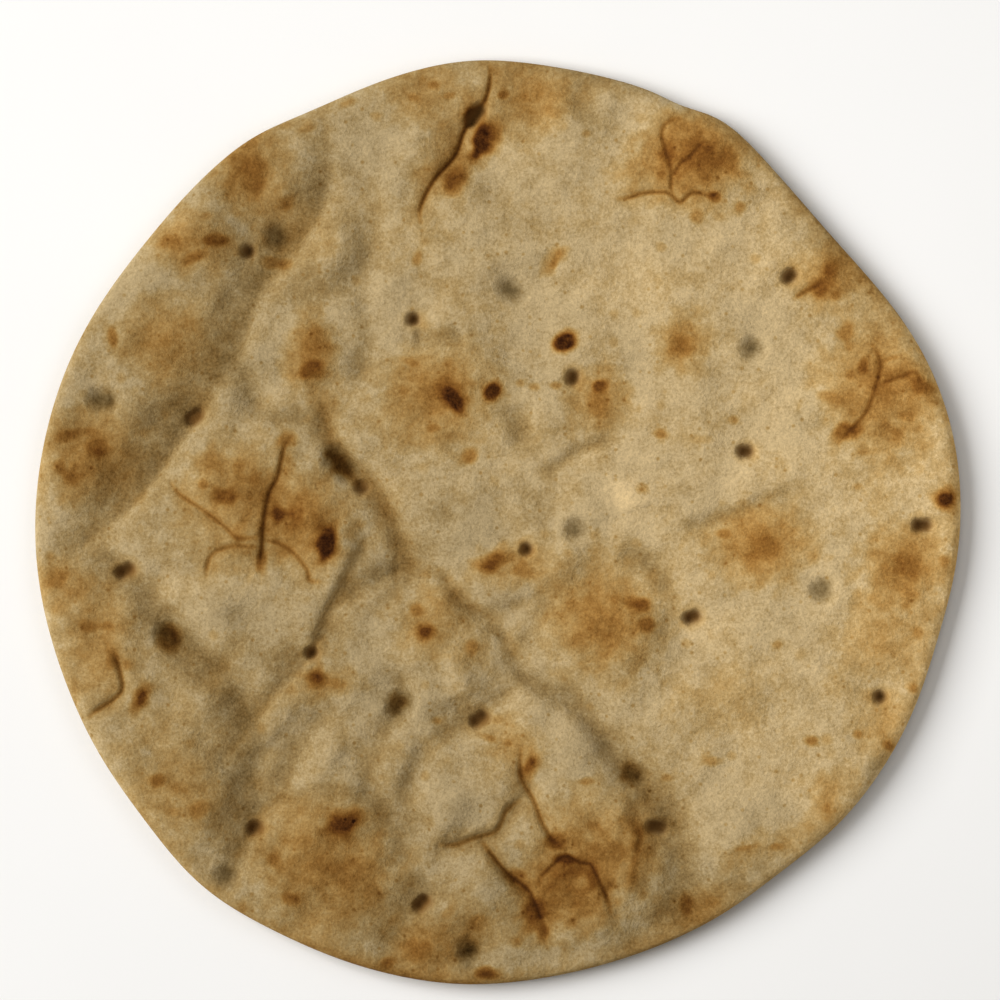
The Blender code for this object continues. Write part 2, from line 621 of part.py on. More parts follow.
for old in list(bpy.data.objects):
    bpy.data.objects.remove(old, do_unlink=True)
pita = bpy.data.objects.new("pita", bread_mesh())
pita.data.materials.append(dough_material())
bpy.context.collection.objects.link(pita)
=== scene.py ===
import math

import bpy
import numpy as np
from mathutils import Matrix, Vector
from mathutils.geometry import delaunay_2d_cdt
from mathutils.kdtree import KDTree


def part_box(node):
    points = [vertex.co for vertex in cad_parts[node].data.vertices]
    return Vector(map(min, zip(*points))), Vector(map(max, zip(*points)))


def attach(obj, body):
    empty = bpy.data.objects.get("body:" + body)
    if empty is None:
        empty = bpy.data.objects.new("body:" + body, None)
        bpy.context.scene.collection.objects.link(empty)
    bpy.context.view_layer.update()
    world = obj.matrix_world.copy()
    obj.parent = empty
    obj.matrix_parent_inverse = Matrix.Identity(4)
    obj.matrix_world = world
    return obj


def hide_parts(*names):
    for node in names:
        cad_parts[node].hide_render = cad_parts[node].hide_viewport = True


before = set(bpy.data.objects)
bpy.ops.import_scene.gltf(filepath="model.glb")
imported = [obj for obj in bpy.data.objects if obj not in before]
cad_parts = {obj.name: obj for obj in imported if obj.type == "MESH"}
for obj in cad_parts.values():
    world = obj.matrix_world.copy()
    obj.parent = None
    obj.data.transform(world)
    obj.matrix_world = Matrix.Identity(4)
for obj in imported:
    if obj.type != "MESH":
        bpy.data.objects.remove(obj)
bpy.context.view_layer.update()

# ------------------------------------------------------------------------------------------------
# The rolled round. A ball of lean wheat dough is rolled out by hand to a disc that is never quite
# round, with a blunt edge, and baked on a hot floor. Here are its outline and its plain section.
# Sizes in this file are millimetres from the middle of the roll, and MM makes them metres.
# ------------------------------------------------------------------------------------------------
MM = 0.001
ROLL_RADIUS = 84.9
DOUGH_THICKNESS = 5.5
EDGE_HEIGHT = 2.3
CRUST_ROUNDING = 2.7
SHOULDER = 2.8
UNDERSIDE_ROUNDING = 4.5

# Where the outline leaves the circle: direction in degrees, swell, and its spread in degrees.
OUTLINE_SWELLS = (
    (8, 1.3, 13), (41, -3.3, 11), (61, 1.1, 5), (66, -0.8, 2.5), (93, 0.8, 6), (114, -1.2, 7),
    (122, 0.4, 4), (141, -1.6, 10), (184, 0.8, 12), (211, 0.4, 7), (231, 1.6, 7), (250, 1.2, 12),
    (266, 0.6, 7), (295, -0.8, 12), (309, -0.9, 6), (345, -0.6, 6),
)


def smooth_step(low, high, value):
    """0 below low, 1 above high, and a soft rise between them."""
    t = np.clip((value - low) / (high - low), 0.0, 1.0)
    return t * t * (3.0 - 2.0 * t)


def round_the_edge(angle, plain, swells):
    """A plain value with swells round some directions, at an angle in radians."""
    degrees = np.degrees(angle)
    value = np.full_like(degrees, plain)
    for direction, swell, spread in swells:
        off = (degrees - direction + 180.0) % 360.0 - 180.0
        value += swell * np.exp(-0.5 * (off / spread) ** 2)
    return value


def outline_radius(angle):
    """The outline's distance from the middle."""
    return round_the_edge(angle, ROLL_RADIUS, OUTLINE_SWELLS)


def edge_distance(x, y):
    """How far inside the outline a point lies."""
    return outline_radius(np.arctan2(y, x)) - np.hypot(x, y)


def rounded(inset, width, fullness=2.0):
    """An edge's rounded section: 0 at the outline, 1 from a width inwards. 2 is a quarter ellipse."""
    return (1 - np.clip(1 - inset / width, 0.0, 1.0) ** fullness) ** (1 / fullness)


# ------------------------------------------------------------------------------------------------
# What the oven did to the round: steam raised soft puffs between the pricked holes, and the dough
# stayed low in valleys between them. Small lumps lie all over it, fewer on the right.
# ------------------------------------------------------------------------------------------------
RELIEF_FADE = (0.0, 3.5)
LEAST_HEIGHT = 1.0
PUFF_STEEPNESS = 1.4

# Puffs: centre, half length, half width, turn in degrees, height, squareness (2 is an ellipse).
PUFFS = (
    ((-47.5, -8.0), 23.0, 21.0, -40, 1.7, 4.5), ((-62.5, 41.0), 31.0, 12.5, 62, 0.9, 2.5),
    ((-79.0, 8.0), 11.0, 9.0, 80, 0.5, 2.0), ((-66.0, -42.0), 26.0, 11.5, -52, 1.3, 3.0),
    ((-32.0, 53.0), 9.0, 8.5, 0, 0.9, 2.5), ((-43.5, 44.0), 6.5, 5.5, 30, 0.5, 2.5),
    ((-45.5, 28.5), 5.5, 5.0, 0, 0.5, 2.5), ((-35.0, 32.0), 8.0, 8.0, 40, 0.9, 2.5),
    ((-8.5, 15.0), 25.0, 19.0, -52, 1.3, 3.0), ((1.5, 58.5), 20.0, 16.0, 0, 0.5, 2.0),
    ((-14.5, 71.5), 12.5, 9.0, 25, 0.6, 2.0), ((35.5, 67.0), 15.0, 11.0, -25, 0.8, 2.5),
    ((37.5, 41.0), 20.0, 17.0, 0, 0.5, 2.0), ((72.0, 22.5), 16.0, 13.0, 80, 0.6, 2.0),
    ((26.5, 4.0), 19.0, 11.5, 22, 0.8, 3.0), ((47.0, -8.5), 23.0, 12.0, -5, 0.7, 3.0),
    ((72.5, -14.5), 14.0, 14.0, 0, 0.4, 2.0), ((56.0, -33.0), 18.0, 15.0, 0, 0.4, 2.0),
    ((4.5, -9.0), 12.0, 6.5, 22, 1.1, 3.0), ((18.5, -23.5), 16.5, 12.5, -20, 1.3, 3.2),
    ((31.5, -38.0), 15.5, 10.5, -45, 0.8, 2.5), ((-23.0, -10.5), 5.5, 4.0, -40, 0.5, 3.0),
    ((-15.0, -20.5), 9.0, 8.0, 0, 1.1, 2.5), ((-13.0, -30.5), 7.0, 6.5, 0, 1.0, 2.5),
    ((-26.0, -20.5), 6.5, 7.5, -40, 0.6, 2.5), ((-4.5, -27.0), 6.5, 5.5, -30, 0.6, 2.5),
    ((-41.5, -36.5), 9.0, 3.5, 48, 0.9, 2.5), ((-33.0, -42.0), 6.5, 5.0, 50, 1.0, 2.5),
    ((-31.0, -48.0), 5.0, 3.5, 20, 0.5, 2.5), ((-19.5, -43.5), 6.0, 6.5, 0, 1.0, 2.5),
    ((-41.5, -48.0), 6.5, 5.5, 0, 0.8, 2.5), ((-34.0, -66.0), 20.0, 13.5, -12, 1.2, 2.8),
    ((-5.0, -50.3), 11.8, 9.0, -15, 1.5, 3.2), ((3.0, -59.0), 6.0, 6.5, -45, 0.8, 3.0),
    ((14.0, -47.0), 19.0, 8.0, -58, 1.3, 3.0), ((23.0, -62.0), 11.0, 6.5, 70, 0.9, 2.8),
    ((14.0, -71.5), 8.5, 8.0, 0, 1.2, 3.2), ((-8.5, -73.0), 13.5, 9.5, 20, 1.1, 3.0),
    ((41.5, -60.0), 16.0, 10.5, 35, 0.8, 2.5), ((-26.5, -31.0), 6.5, 5.0, 40, 0.5, 2.5),
)

TROUGH_SHARE = 0.75
SINK_WIDTH = 2.0
RUN_OUT = 0.15
LEAN_TURN = 0.25
VALLEY_END_DEPTH = 0.4
VALLEY_PITCH = 2.4

# Valleys: depth, half width at the start and the end, lean, how browned the line is, and its path.
# A lean above 0 makes the left side of the path the steeper one, and one below 0 the right side.
VALLEYS = (
    # Down the left shoulder: a broad slope, steep on its inner side.
    (2.1, (3.6, 4.4), 0.55, 0.05, (
        (-31.3, 68.8), (-32.0, 61.0), (-35.9, 53.6), (-41.1, 47.7), (-45.5, 41.4), (-47.0, 35.5),
        (-49.8, 29.2), (-53.6, 23.1),
    )),
    # The square puff's upper left side, and the wide slope outside it.
    (2.1, (5.0, 3.8), 0.78, 0.08, (
        (-53.6, 23.1), (-56.4, 18.9), (-59.0, 15.2), (-62.3, 10.5), (-65.5, 6.3), (-68.5, 2.8),
        (-72.0, -0.7),
    )),
    # Its lower left side, through a pin hole and a dimple.
    (2.1, (2.8, 4.0), 0.35, 0.06, (
        (-73.4, -4.3), (-69.4, -8.9), (-64.9, -12.9), (-60.1, -18.5), (-55.7, -23.3), (-50.9, -28.5),
    )),
    # On down to the lower left rim.
    (1.8, (4.4, 2.4), 0.4, 0.05, (
        (-50.9, -28.5), (-47.0, -33.9), (-44.8, -39.4), (-45.1, -47.4), (-45.0, -53.6), (-47.0, -60.7),
        (-49.2, -67.2),
    )),
    # The square puff's upper right side, the deepest of all.
    (2.0, (1.9, 2.2), 0.1, 0.2, (
        (-32.7, 23.5), (-31.8, 17.9), (-30.5, 14.6), (-27.2, 10.9), (-23.3, 7.2), (-20.9, 3.3),
        (-19.1, -0.2), (-17.8, -3.9), (-16.3, -7.8),
    )),
    # The small three-cornered shelf at its right corner.
    (1.1, (1.4, 2.0), 0.2, 0.06, ((-16.8, -7.6), (-20.7, -10.2), (-24.4, -12.2), (-27.9, -14.4))),
    # Its lower right side, through a pin hole, and on to its foot.
    (1.2, (1.3, 1.8), -0.6, 0.14, (
        (-24.6, -3.3), (-27.2, -8.5), (-29.8, -13.3), (-32.2, -18.5), (-33.7, -23.3),
    )),
    (1.2, (1.9, 2.4), 0.72, 0.07, (
        (-33.9, -23.7), (-36.8, -27.4), (-40.3, -31.1), (-43.8, -35.3), (-47.0, -40.0),
    )),
    # Across its top.
    (1.4, (2.6, 1.6), 0.0, 0.03, (
        (-47.9, 29.6), (-45.5, 24.1), (-43.5, 20.0), (-38.7, 19.4), (-33.1, 18.9),
    )),
    # From the middle down to the right.
    (1.0, (1.2, 1.3), 0.2, 0.1, (
        (-10.5, -8.9), (-8.0, -12.9), (-4.3, -16.3), (-0.6, -18.5), (1.7, -21.8), (2.8, -24.1),
    )),
    # On to the lower rim.
    (2.0, (1.3, 4.6), -0.25, 0.06, (
        (1.7, -21.5), (3.1, -25.2), (5.4, -28.9), (9.1, -31.6), (14.1, -33.9), (18.1, -37.6),
        (21.3, -42.2), (25.7, -47.2), (30.3, -52.2), (33.3, -57.5), (34.0, -64.0), (33.1, -70.3),
        (29.8, -76.2), (22.4, -80.8),
    )),
    # Under the long puff in the middle.
    (0.3, (1.1, 1.3), 0.0, 0.05, (
        (-9.1, -11.7), (-5.9, -15.4), (-1.5, -16.8), (3.5, -15.5), (7.6, -13.3), (10.9, -10.4),
        (13.5, -7.4),
    )),
    # Two fan folds, right of the middle.
    (1.3, (1.4, 1.1), 0.0, 0.05, ((8.9, 8.9), (12.8, 11.7), (16.8, 13.7), (22.4, 15.7))),
    (1.1, (1.3, 1.6), 0.0, 0.05, ((33.9, -1.1), (38.7, -0.2), (43.5, 1.5), (49.0, 3.5), (56.1, 5.5))),
    # Round the large puff on their lower side.
    (0.5, (1.9, 2.2), 0.0, 0.02, (
        (21.3, -4.3), (26.8, -6.3), (30.9, -10.7), (31.6, -16.6), (28.7, -23.7), (23.1, -29.6),
    )),
    (0.9, (2.2, 2.2), 0.0, 0.02, ((22.4, -5.5), (28.3, -8.1), (32.7, -12.9))),
    (1.3, (2.4, 2.4), 0.0, 0.02, ((15.0, 81.8), (16.3, 77.3), (16.8, 73.3))),
    # Between the small puffs of the lower left.
    (1.0, (1.3, 1.9), 0.0, 0.05, (
        (4.3, -30.0), (0.0, -33.3), (-3.5, -35.5), (-7.6, -37.4), (-11.7, -40.7),
    )),
    (0.7, (1.8, 2.2), 0.0, 0.04, (
        (-11.7, -40.7), (-15.0, -44.8), (-16.5, -49.6), (-15.4, -55.1), (-10.5, -59.2), (-3.5, -59.2),
    )),
    (0.8, (1.4, 1.4), 0.0, 0.04, ((-12.4, -37.0), (-9.4, -35.1), (-6.5, -33.7))),
    (1.4, (1.9, 1.8), 0.0, 0.04, (
        (-18.3, -26.3), (-17.2, -31.4), (-19.1, -36.6), (-22.4, -41.8), (-23.9, -48.5),
    )),
    (1.9, (1.8, 2.6), 0.0, 0.03, ((-31.1, -35.1), (-34.8, -38.9), (-37.7, -43.3), (-40.7, -49.6))),
    (0.8, (1.5, 1.8), 0.0, 0.03, (
        (-44.6, -54.2), (-38.3, -51.2), (-30.9, -49.8), (-23.5, -51.4), (-17.2, -54.4),
    )),
    (0.8, (1.8, 2.2), 0.0, 0.03, ((-23.1, -51.4), (-17.9, -57.9), (-16.5, -64.4))),
    # Inside the square puff, low on the left.
    (0.7, (1.6, 1.8), 0.0, 0.04, ((-47.0, -21.8), (-49.8, -24.8), (-52.4, -28.1))),
    # Through the lowest pin hole.
    (1.8, (3.0, 3.4), 0.2, 0.05, ((-10.7, -67.7), (-14.8, -70.3), (-17.8, -74.4), (-19.6, -78.8))),
    # Round the small puffs of the upper left, and between them.
    (1.0, (2.6, 2.8), 0.2, 0.03, (
        (-29.0, 68.8), (-24.2, 61.4), (-22.4, 54.0), (-24.6, 46.6), (-33.1, 42.2), (-42.4, 41.4),
    )),
    (0.8, (1.8, 2.2), 0.0, 0.03, ((-24.6, 41.1), (-24.2, 32.7), (-26.5, 25.7), (-30.5, 22.2))),
    # Above the middle, under a toasted spot.
    (1.5, (2.4, 2.4), 0.0, 0.03, ((3.3, 21.8), (5.5, 14.1))),
    (0.5, (2.6, 2.4), 0.0, 0.03, ((-6.5, 6.3), (-10.5, -1.5), (-14.6, -8.0))),
    # Where the upper right falls away to the rim.
    (1.3, (3.2, 4.2), 0.0, 0.02, ((50.1, 64.8), (57.5, 57.0), (65.7, 47.7), (70.9, 37.4), (71.6, 31.4))),
    (1.8, (2.1, 2.0), 0.0, 0.02, ((-15.7, 34.0), (-10.9, 34.0), (-5.7, 35.1))),
    (0.9, (1.6, 1.5), 0.0, 0.03, ((-10.5, -60.3), (-3.1, -59.6), (1.7, -56.6), (4.3, -51.4))),
    (0.8, (1.4, 1.4), 0.0, 0.04, ((-1.7, -60.3), (2.8, -66.2), (6.1, -70.3))),
    (1.2, (2.4, 2.4), 0.0, 0.04, ((-5.4, -78.8), (-3.7, -83.2))),
    (0.7, (2.0, 2.0), 0.0, 0.03, ((-17.9, -10.4), (-12.4, -9.6), (-8.3, -10.7))),
    (1.4, (2.0, 2.0), 0.0, 0.03, ((11.1, -14.4), (6.8, -18.1), (5.4, -23.3))),
    (0.6, (1.6, 2.0), 0.0, 0.03, ((30.5, -56.2), (36.1, -56.8))),
    (0.7, (3.0, 3.0), 0.0, 0.03, ((32.4, -74.6), (39.8, -69.9), (47.2, -64.0))),
    # Low rises, as valleys with a depth below 0.
    (-0.6, (3.0, 3.0), 0.0, 0.0, ((-77.9, 0.4), (-76.8, -3.3))),
    (-1.3, (3.4, 3.4), 0.0, 0.0, ((23.1, 7.8), (25.0, 1.9))),
    (-0.8, (3.0, 3.0), 0.0, 0.0, ((-46.4, -10.7), (-41.6, -13.7))),
    (-0.8, (3.0, 3.0), 0.0, 0.0, ((-15.7, 72.5), (-14.2, 67.0))),
    (-1.2, (2.5, 2.5), 0.0, 0.0, ((-8.3, -23.7), (-6.5, -32.9))),
    # Beside the fold at the top.
    (0.4, (1.4, 2.0), 0.5, 0.08, (
        (-2.6, 77.7), (-6.3, 72.0), (-8.1, 67.3), (-11.8, 62.9), (-14.2, 58.3),
    )),
)

# Slow unevenness: wavelength, direction in degrees, phase in degrees, height.
CRUST_WAVES = ((41, 20, 40, 0.16), (29, 115, 200, 0.13), (19, 70, 310, 0.09), (15, 160, 90, 0.07))
UNDERSIDE_WAVES = ((46, 35, 200, 0.3), (33, 100, 250, 0.24), (23, 150, 130, 0.16))
UNDERSIDE_FLAT = 0.12
UNDERSIDE_FADE = (3.0, 12.0)

# The small lumps: their shortest and longest wave, how many, and their seed. Then how steep they
# are, and how much calmer on the right.
LUMP_WAVES = ((5.0, 28.0), 90, 4)
LUMP_SLOPE = 0.2
LUMP_CALM = 0.4
LUMP_CALM_REACH = (-20.0, 45.0)


def chance_waves(x, y, lengths, count, seed, steep=False):
    """Waves in chance directions, about -2 to 2 together. Steep ones have a slope of 1 instead."""
    short, long = lengths
    total = np.zeros_like(x)
    for length_share, turn_share, start_share in np.random.default_rng(seed).random((count, 3)):
        k = 2 * math.pi / (short * (long / short) ** length_share)
        turn = 2 * math.pi * turn_share
        run = x * math.cos(turn) + y * math.sin(turn)
        wave = np.sin(k * run + 2 * math.pi * start_share)
        total += wave / k if steep else wave
    return total * math.sqrt(2.0 / count)


def plane_waves(x, y, waves):
    """A sum of plane waves."""
    total = np.zeros_like(x)
    for length, direction, phase, height in waves:
        turn = math.radians(direction)
        run = x * math.cos(turn) + y * math.sin(turn)
        total += height * np.sin(2 * math.pi * run / length + math.radians(phase))
    return total


def smooth_path(path, pitch):
    """Points about a pitch apart on a smooth curve through a path's own points."""
    knots = [np.array(p) for p in (path[0], *path, path[-1])]
    points = []
    for before, start, end, after in zip(knots, knots[1:], knots[2:], knots[3:]):
        steps = max(1, round(float(np.hypot(*(end - start))) / pitch))
        for t in np.arange(steps) / steps:
            bend = (2 * before - 5 * start + 4 * end - after) * t**2
            twist = (3 * start - before - 3 * end + after) * t**3
            points.append(0.5 * (2 * start + (end - before) * t + bend + twist))
    return np.array([*points, knots[-1]])


def path_distance(x, y, points):
    """A point's distance to a path, how far along it (0 to 1) the nearest place is, and the side."""
    nearest = np.full_like(x, np.inf)
    along = np.zeros_like(x)
    side = np.ones_like(x)
    for i, (start, end) in enumerate(zip(points, points[1:])):
        run = end - start
        off_x, off_y = x - start[0], y - start[1]
        t = np.clip((off_x * run[0] + off_y * run[1]) / (run @ run), 0.0, 1.0)
        distance = np.hypot(off_x - t * run[0], off_y - t * run[1])
        closer = distance < nearest
        nearest = np.where(closer, distance, nearest)
        along = np.where(closer, (i + t) / (len(points) - 1), along)
        side = np.where(closer, (run[0] * off_y - run[1] * off_x) / np.hypot(*run), side)
    return nearest, along, side


def depth_share(along, end_depth):
    """How much of its depth a groove has at a place 0 to 1 along it: less towards both ends."""
    fade = smooth_step(0.0, RUN_OUT, along) * smooth_step(0.0, RUN_OUT, 1 - along)
    return end_depth + (1 - end_depth) * fade


def in_oval(x, y, cx, cy, half_length, half_width, turn):
    """A point's place along and across a turned oval, where 1 is the oval's edge."""
    c, s = math.cos(math.radians(turn)), math.sin(math.radians(turn))
    return ((x - cx) * c + (y - cy) * s) / half_length, ((y - cy) * c - (x - cx) * s) / half_width


def puff_relief(x, y):
    """Rounded pillows."""
    total = np.zeros_like(x)
    for (cx, cy), half_length, half_width, turn, height, squareness in PUFFS:
        u, v = np.abs(in_oval(x, y, cx, cy, half_length, half_width, turn))
        out = np.clip((u**squareness + v**squareness) ** (1 / squareness), 0.0, 1.0)
        total += height * (1 - out ** (PUFF_STEEPNESS * squareness)) ** 2
    return total


def valley_forms(x, y):
    """Each valley as its depth at a point, its narrow trough and its wide sink, and its browning."""
    for depth, (first, last), lean, browning, path in VALLEYS:
        distance, along, side = path_distance(x, y, smooth_path(path, VALLEY_PITCH))
        width = (first + (last - first) * along) * (1 - lean * np.tanh(side / LEAN_TURN))
        across = distance / width
        trough, sink = np.exp(-(across**2)), np.exp(-((across / SINK_WIDTH) ** 2))
        yield depth * depth_share(along, VALLEY_END_DEPTH), trough, sink, browning


def valley_relief(x, y):
    """Soft troughs, wider or narrower along their way, with a wide shallow sink on both sides."""
    total = np.zeros_like(x)
    for depth, trough, sink, _ in valley_forms(x, y):
        total -= depth * (TROUGH_SHARE * trough + (1 - TROUGH_SHARE) * sink)
    return total


def lump_relief(x, y):
    """Small lumps, calmer towards the right."""
    calm = 1 - LUMP_CALM * smooth_step(*LUMP_CALM_REACH, x)
    return calm * LUMP_SLOPE * chance_waves(x, y, *LUMP_WAVES, steep=True)


# ------------------------------------------------------------------------------------------------
# The pricked holes. Before baking, a docker pressed two patterns through the round, so that it
# would not balloon: a slanting lattice of narrow holes, and a wider one of blunt dimples. Each hole
# is a little off its place, because the dough crept and puffed.
# ------------------------------------------------------------------------------------------------
PIN_START = (-46.1, 50.1)
PIN_STEP_ALONG = (31.1, -12.8)
PIN_STEP_DOWN = (-9.8, -30.7)
PIN_RADIUS = 1.9
PIN_FLOOR_RADIUS = 0.1
PIN_DEPTH = 2.8
PIN_SHIFTS = {
    (1, -1): (1.3, 7.2), (3, -1): (-2.6, 3.1), (0, 0): (0.0, 0.0), (1, 0): (-0.4, 0.2),
    (2, 0): (-1.9, 2.2), (3, 0): (-1.1, 1.3), (4, 0): (0.6, 0.4), (0, 1): (0.0, 0.0),
    (1, 1): (-0.2, -0.2), (2, 1): (-0.7, 1.1), (3, 1): (-1.1, 1.3), (4, 1): (2.6, -0.7),
    (0, 2): (-3.0, 2.2), (1, 2): (0.4, -0.2), (2, 2): (0.4, 0.2), (3, 2): (2.0, -7.0),
    (1, 3): (-0.2, -2.0), (2, 3): (-0.4, -3.1),
}

DIMPLE_START = (-40.6, 53.0)
DIMPLE_STEP_ALONG = (43.8, -11.3)
DIMPLE_STEP_DOWN = (11.8, -43.7)
DIMPLE_RADIUS = 3.4
DIMPLE_FLOOR_RADIUS = 0.3
DIMPLE_DEPTH = 1.25
DIMPLE_SHIFTS = {
    (0, 0): (0.0, 0.0), (1, 0): (-0.2, 1.1), (2, 0): (0.4, 1.7), (-1, 1): (-0.2, 1.9),
    (0, 1): (-0.2, 1.5), (1, 1): (-0.4, 0.6), (2, 1): (1.5, 0.7), (-1, 2): (0.2, 1.7),
    (0, 2): (-0.7, 0.6), (1, 2): (-1.1, -1.1), (-1, 3): (-1.3, 1.1), (0, 3): (0.2, -1.1),
}
HOLE_SINK = 0.45
HOLE_SINK_RADIUS = 5.5


def lattice(start, along, down, shifts):
    """The holes of one pricked pattern, as points."""
    return [
        (start[0] + i * along[0] + j * down[0] + dx, start[1] + i * along[1] + j * down[1] + dy)
        for (i, j), (dx, dy) in shifts.items()
    ]


PINS = lattice(PIN_START, PIN_STEP_ALONG, PIN_STEP_DOWN, PIN_SHIFTS)
DIMPLES = lattice(DIMPLE_START, DIMPLE_STEP_ALONG, DIMPLE_STEP_DOWN, DIMPLE_SHIFTS)


def sink_relief(x, y):
    """The dough sank a little round each hole."""
    total = np.zeros_like(x)
    for cx, cy in PINS + DIMPLES:
        total -= HOLE_SINK * np.exp(-((np.hypot(x - cx, y - cy) / HOLE_SINK_RADIUS) ** 2))
    return total


# ------------------------------------------------------------------------------------------------
# The folds. Where a puff fell back, its baked skin buckled into sharp folds, which toasted darker
# than the skin beside them. Each has its depth, its half width, how browned it is, and its path.
# ------------------------------------------------------------------------------------------------
FOLD_PITCH = 0.8
FOLD_END_DEPTH = 0.45
FOLDS = (
    # From the top edge through a pin hole.
    (0.6, 0.8, 0.75, (
        (-1.3, 84.9), (-1.3, 81.8), (-2.2, 78.1), (-4.3, 75.5), (-6.3, 72.0), (-6.8, 70.3), (-8.0, 67.5),
        (-11.8, 63.1), (-14.1, 58.5), (-14.2, 55.5),
    )),
    # The hooked group of the upper right.
    (0.35, 0.7, 0.5, (
        (33.9, 74.7), (31.6, 74.0), (30.5, 72.2), (30.9, 69.6), (32.2, 65.1), (32.2, 61.4), (32.9, 59.6),
    )),
    (0.5, 0.7, 0.58, (
        (22.4, 59.8), (24.6, 60.1), (27.4, 60.9), (31.6, 60.9), (33.9, 59.2), (36.3, 61.0), (40.0, 60.1),
    )),
    (0.35, 0.6, 0.5, ((32.2, 63.3), (34.0, 66.4), (35.7, 67.5), (37.0, 69.2), (38.5, 70.3))),
    # At the right rim.
    (0.25, 0.8, 0.5, ((55.1, 41.4), (56.6, 42.5), (58.3, 43.3), (60.1, 44.0))),
    (0.3, 0.8, 0.55, (
        (69.6, 32.7), (71.0, 29.6), (70.3, 25.9), (69.2, 22.6), (67.9, 19.8), (64.9, 16.5), (63.1, 14.6),
    )),
    (0.3, 0.8, 0.5, ((71.0, 25.3), (73.3, 26.5), (75.1, 27.0), (77.3, 27.8), (78.6, 25.3))),
    (0.25, 0.7, 0.35, ((71.0, 29.6), (72.7, 30.2), (74.6, 30.7))),
    # The cross on the square puff.
    (0.55, 0.75, 0.66, (
        (-38.3, 15.7), (-39.4, 13.9), (-40.0, 11.1), (-40.7, 8.1), (-42.0, 5.9), (-42.7, 3.1),
        (-43.3, -1.5), (-43.5, -4.8), (-44.2, -8.9),
    )),
    (0.7, 0.7, 0.48, (
        (-60.3, 7.2), (-58.6, 5.0), (-54.9, 2.6), (-50.3, -0.9), (-47.7, -3.0), (-43.5, -2.6),
    )),
    (0.55, 0.6, 0.42, ((-43.5, -4.8), (-48.5, -4.4), (-51.8, -5.4), (-53.3, -7.0), (-53.8, -9.8))),
    (0.55, 0.6, 0.48, (
        (-43.5, -3.3), (-40.5, -3.9), (-37.9, -5.5), (-35.1, -8.9), (-34.8, -10.7), (-32.7, -11.1),
    )),
    # At the lower left rim.
    (0.8, 0.75, 0.55, (
        (-70.7, -24.6), (-69.4, -28.9), (-69.4, -31.1), (-71.0, -32.9), (-74.4, -35.1), (-75.7, -36.3),
    )),
    # The folds round the small puffs at the bottom.
    (0.75, 0.8, 0.52, (
        (4.4, -42.2), (4.3, -45.0), (4.6, -47.7), (6.7, -51.4), (8.3, -55.5), (10.4, -59.0),
        (12.6, -60.7),
    )),
    (0.4, 0.75, 0.62, (
        (7.6, -67.0), (8.3, -65.5), (9.8, -64.0), (12.6, -61.8), (15.4, -63.1), (17.2, -63.3),
        (18.7, -65.9), (20.4, -69.9), (21.1, -72.2),
    )),
    (0.9, 0.85, 0.48, (
        (-10.5, -59.8), (-7.8, -59.9), (-4.1, -58.5), (-0.4, -57.4), (0.9, -55.5), (1.7, -53.6),
        (4.3, -51.4),
    )),
    (0.8, 0.8, 0.66, (
        (-2.8, -59.2), (0.0, -62.9), (2.2, -65.3), (5.7, -68.1), (6.7, -69.9), (8.1, -73.3), (8.9, -75.5),
    )),
    (0.3, 0.7, 0.25, ((25.5, -56.2), (26.5, -57.9), (26.1, -59.4), (25.9, -61.6))),
)

# ------------------------------------------------------------------------------------------------
# The dough's skin: one closed mesh, fine where holes, folds and small toasted spots lie and wider
# elsewhere. Its outline, upper face and underside share their corners at the edge.
# ------------------------------------------------------------------------------------------------
RIM_POINTS = 720
CRUST_INSETS = (0.05, 0.2, 0.45, 0.8, 1.3, 1.9, 2.6)
UNDERSIDE_INSETS = (0.05, 0.2, 0.5, 1.0, 1.8, 2.8)
UNDERSIDE_START = 1.0
RIM_CLEARANCE = 0.06
BOX_CLEARANCE = 1e-6
JOIN_DISTANCE = 1e-5
CUT_FADE = (0.0, 2.0)

# The spacing of the corners, and the least gap that they keep to the ones laid before them.
FOLD_ROWS = (0.0, -0.32, 0.32, -0.68, 0.68, -1.1, 1.1)
FOLD_GAP = 0.24
FINE_PITCH = 0.42
FINE_GAP = 0.6 * FINE_PITCH
WIDE_PITCH = 0.82
WIDE_GAP = 0.5 * WIDE_PITCH
UNDERSIDE_PITCH = 1.7
UNDERSIDE_GAP = 0.5

# How far round a fold, a hole and a small toasted spot the corners are fine.
FOLD_ZONE = 1.9
FOLD_ZONE_PITCH = 3.0
HOLE_ZONE = 1.0
SPOT_ZONE = 1.25
SMALL_SPOT = 3.4
SMALL_SPOT_LEVEL = 0.2


def crust_height(x, y):
    """The upper face's height above the surface that the bread lies on, before pricking and folding."""
    inset = edge_distance(x, y)
    shell = EDGE_HEIGHT + (DOUGH_THICKNESS - EDGE_HEIGHT) * rounded(inset, CRUST_ROUNDING, SHOULDER)
    soft = plane_waves(x, y, CRUST_WAVES) + puff_relief(x, y) + lump_relief(x, y)
    soft += valley_relief(x, y) + sink_relief(x, y)
    return shell + soft * smooth_step(*RELIEF_FADE, inset)


def underside_height(x, y):
    """The lower face: flat where it rests, with shallow hollows that the oven floor didn't touch."""
    inset = edge_distance(x, y)
    hollow = np.clip(plane_waves(x, y, UNDERSIDE_WAVES) - UNDERSIDE_FLAT, 0.0, None)
    lift = EDGE_HEIGHT * (1 - rounded(inset, UNDERSIDE_ROUNDING))
    return lift + hollow * smooth_step(*UNDERSIDE_FADE, inset)


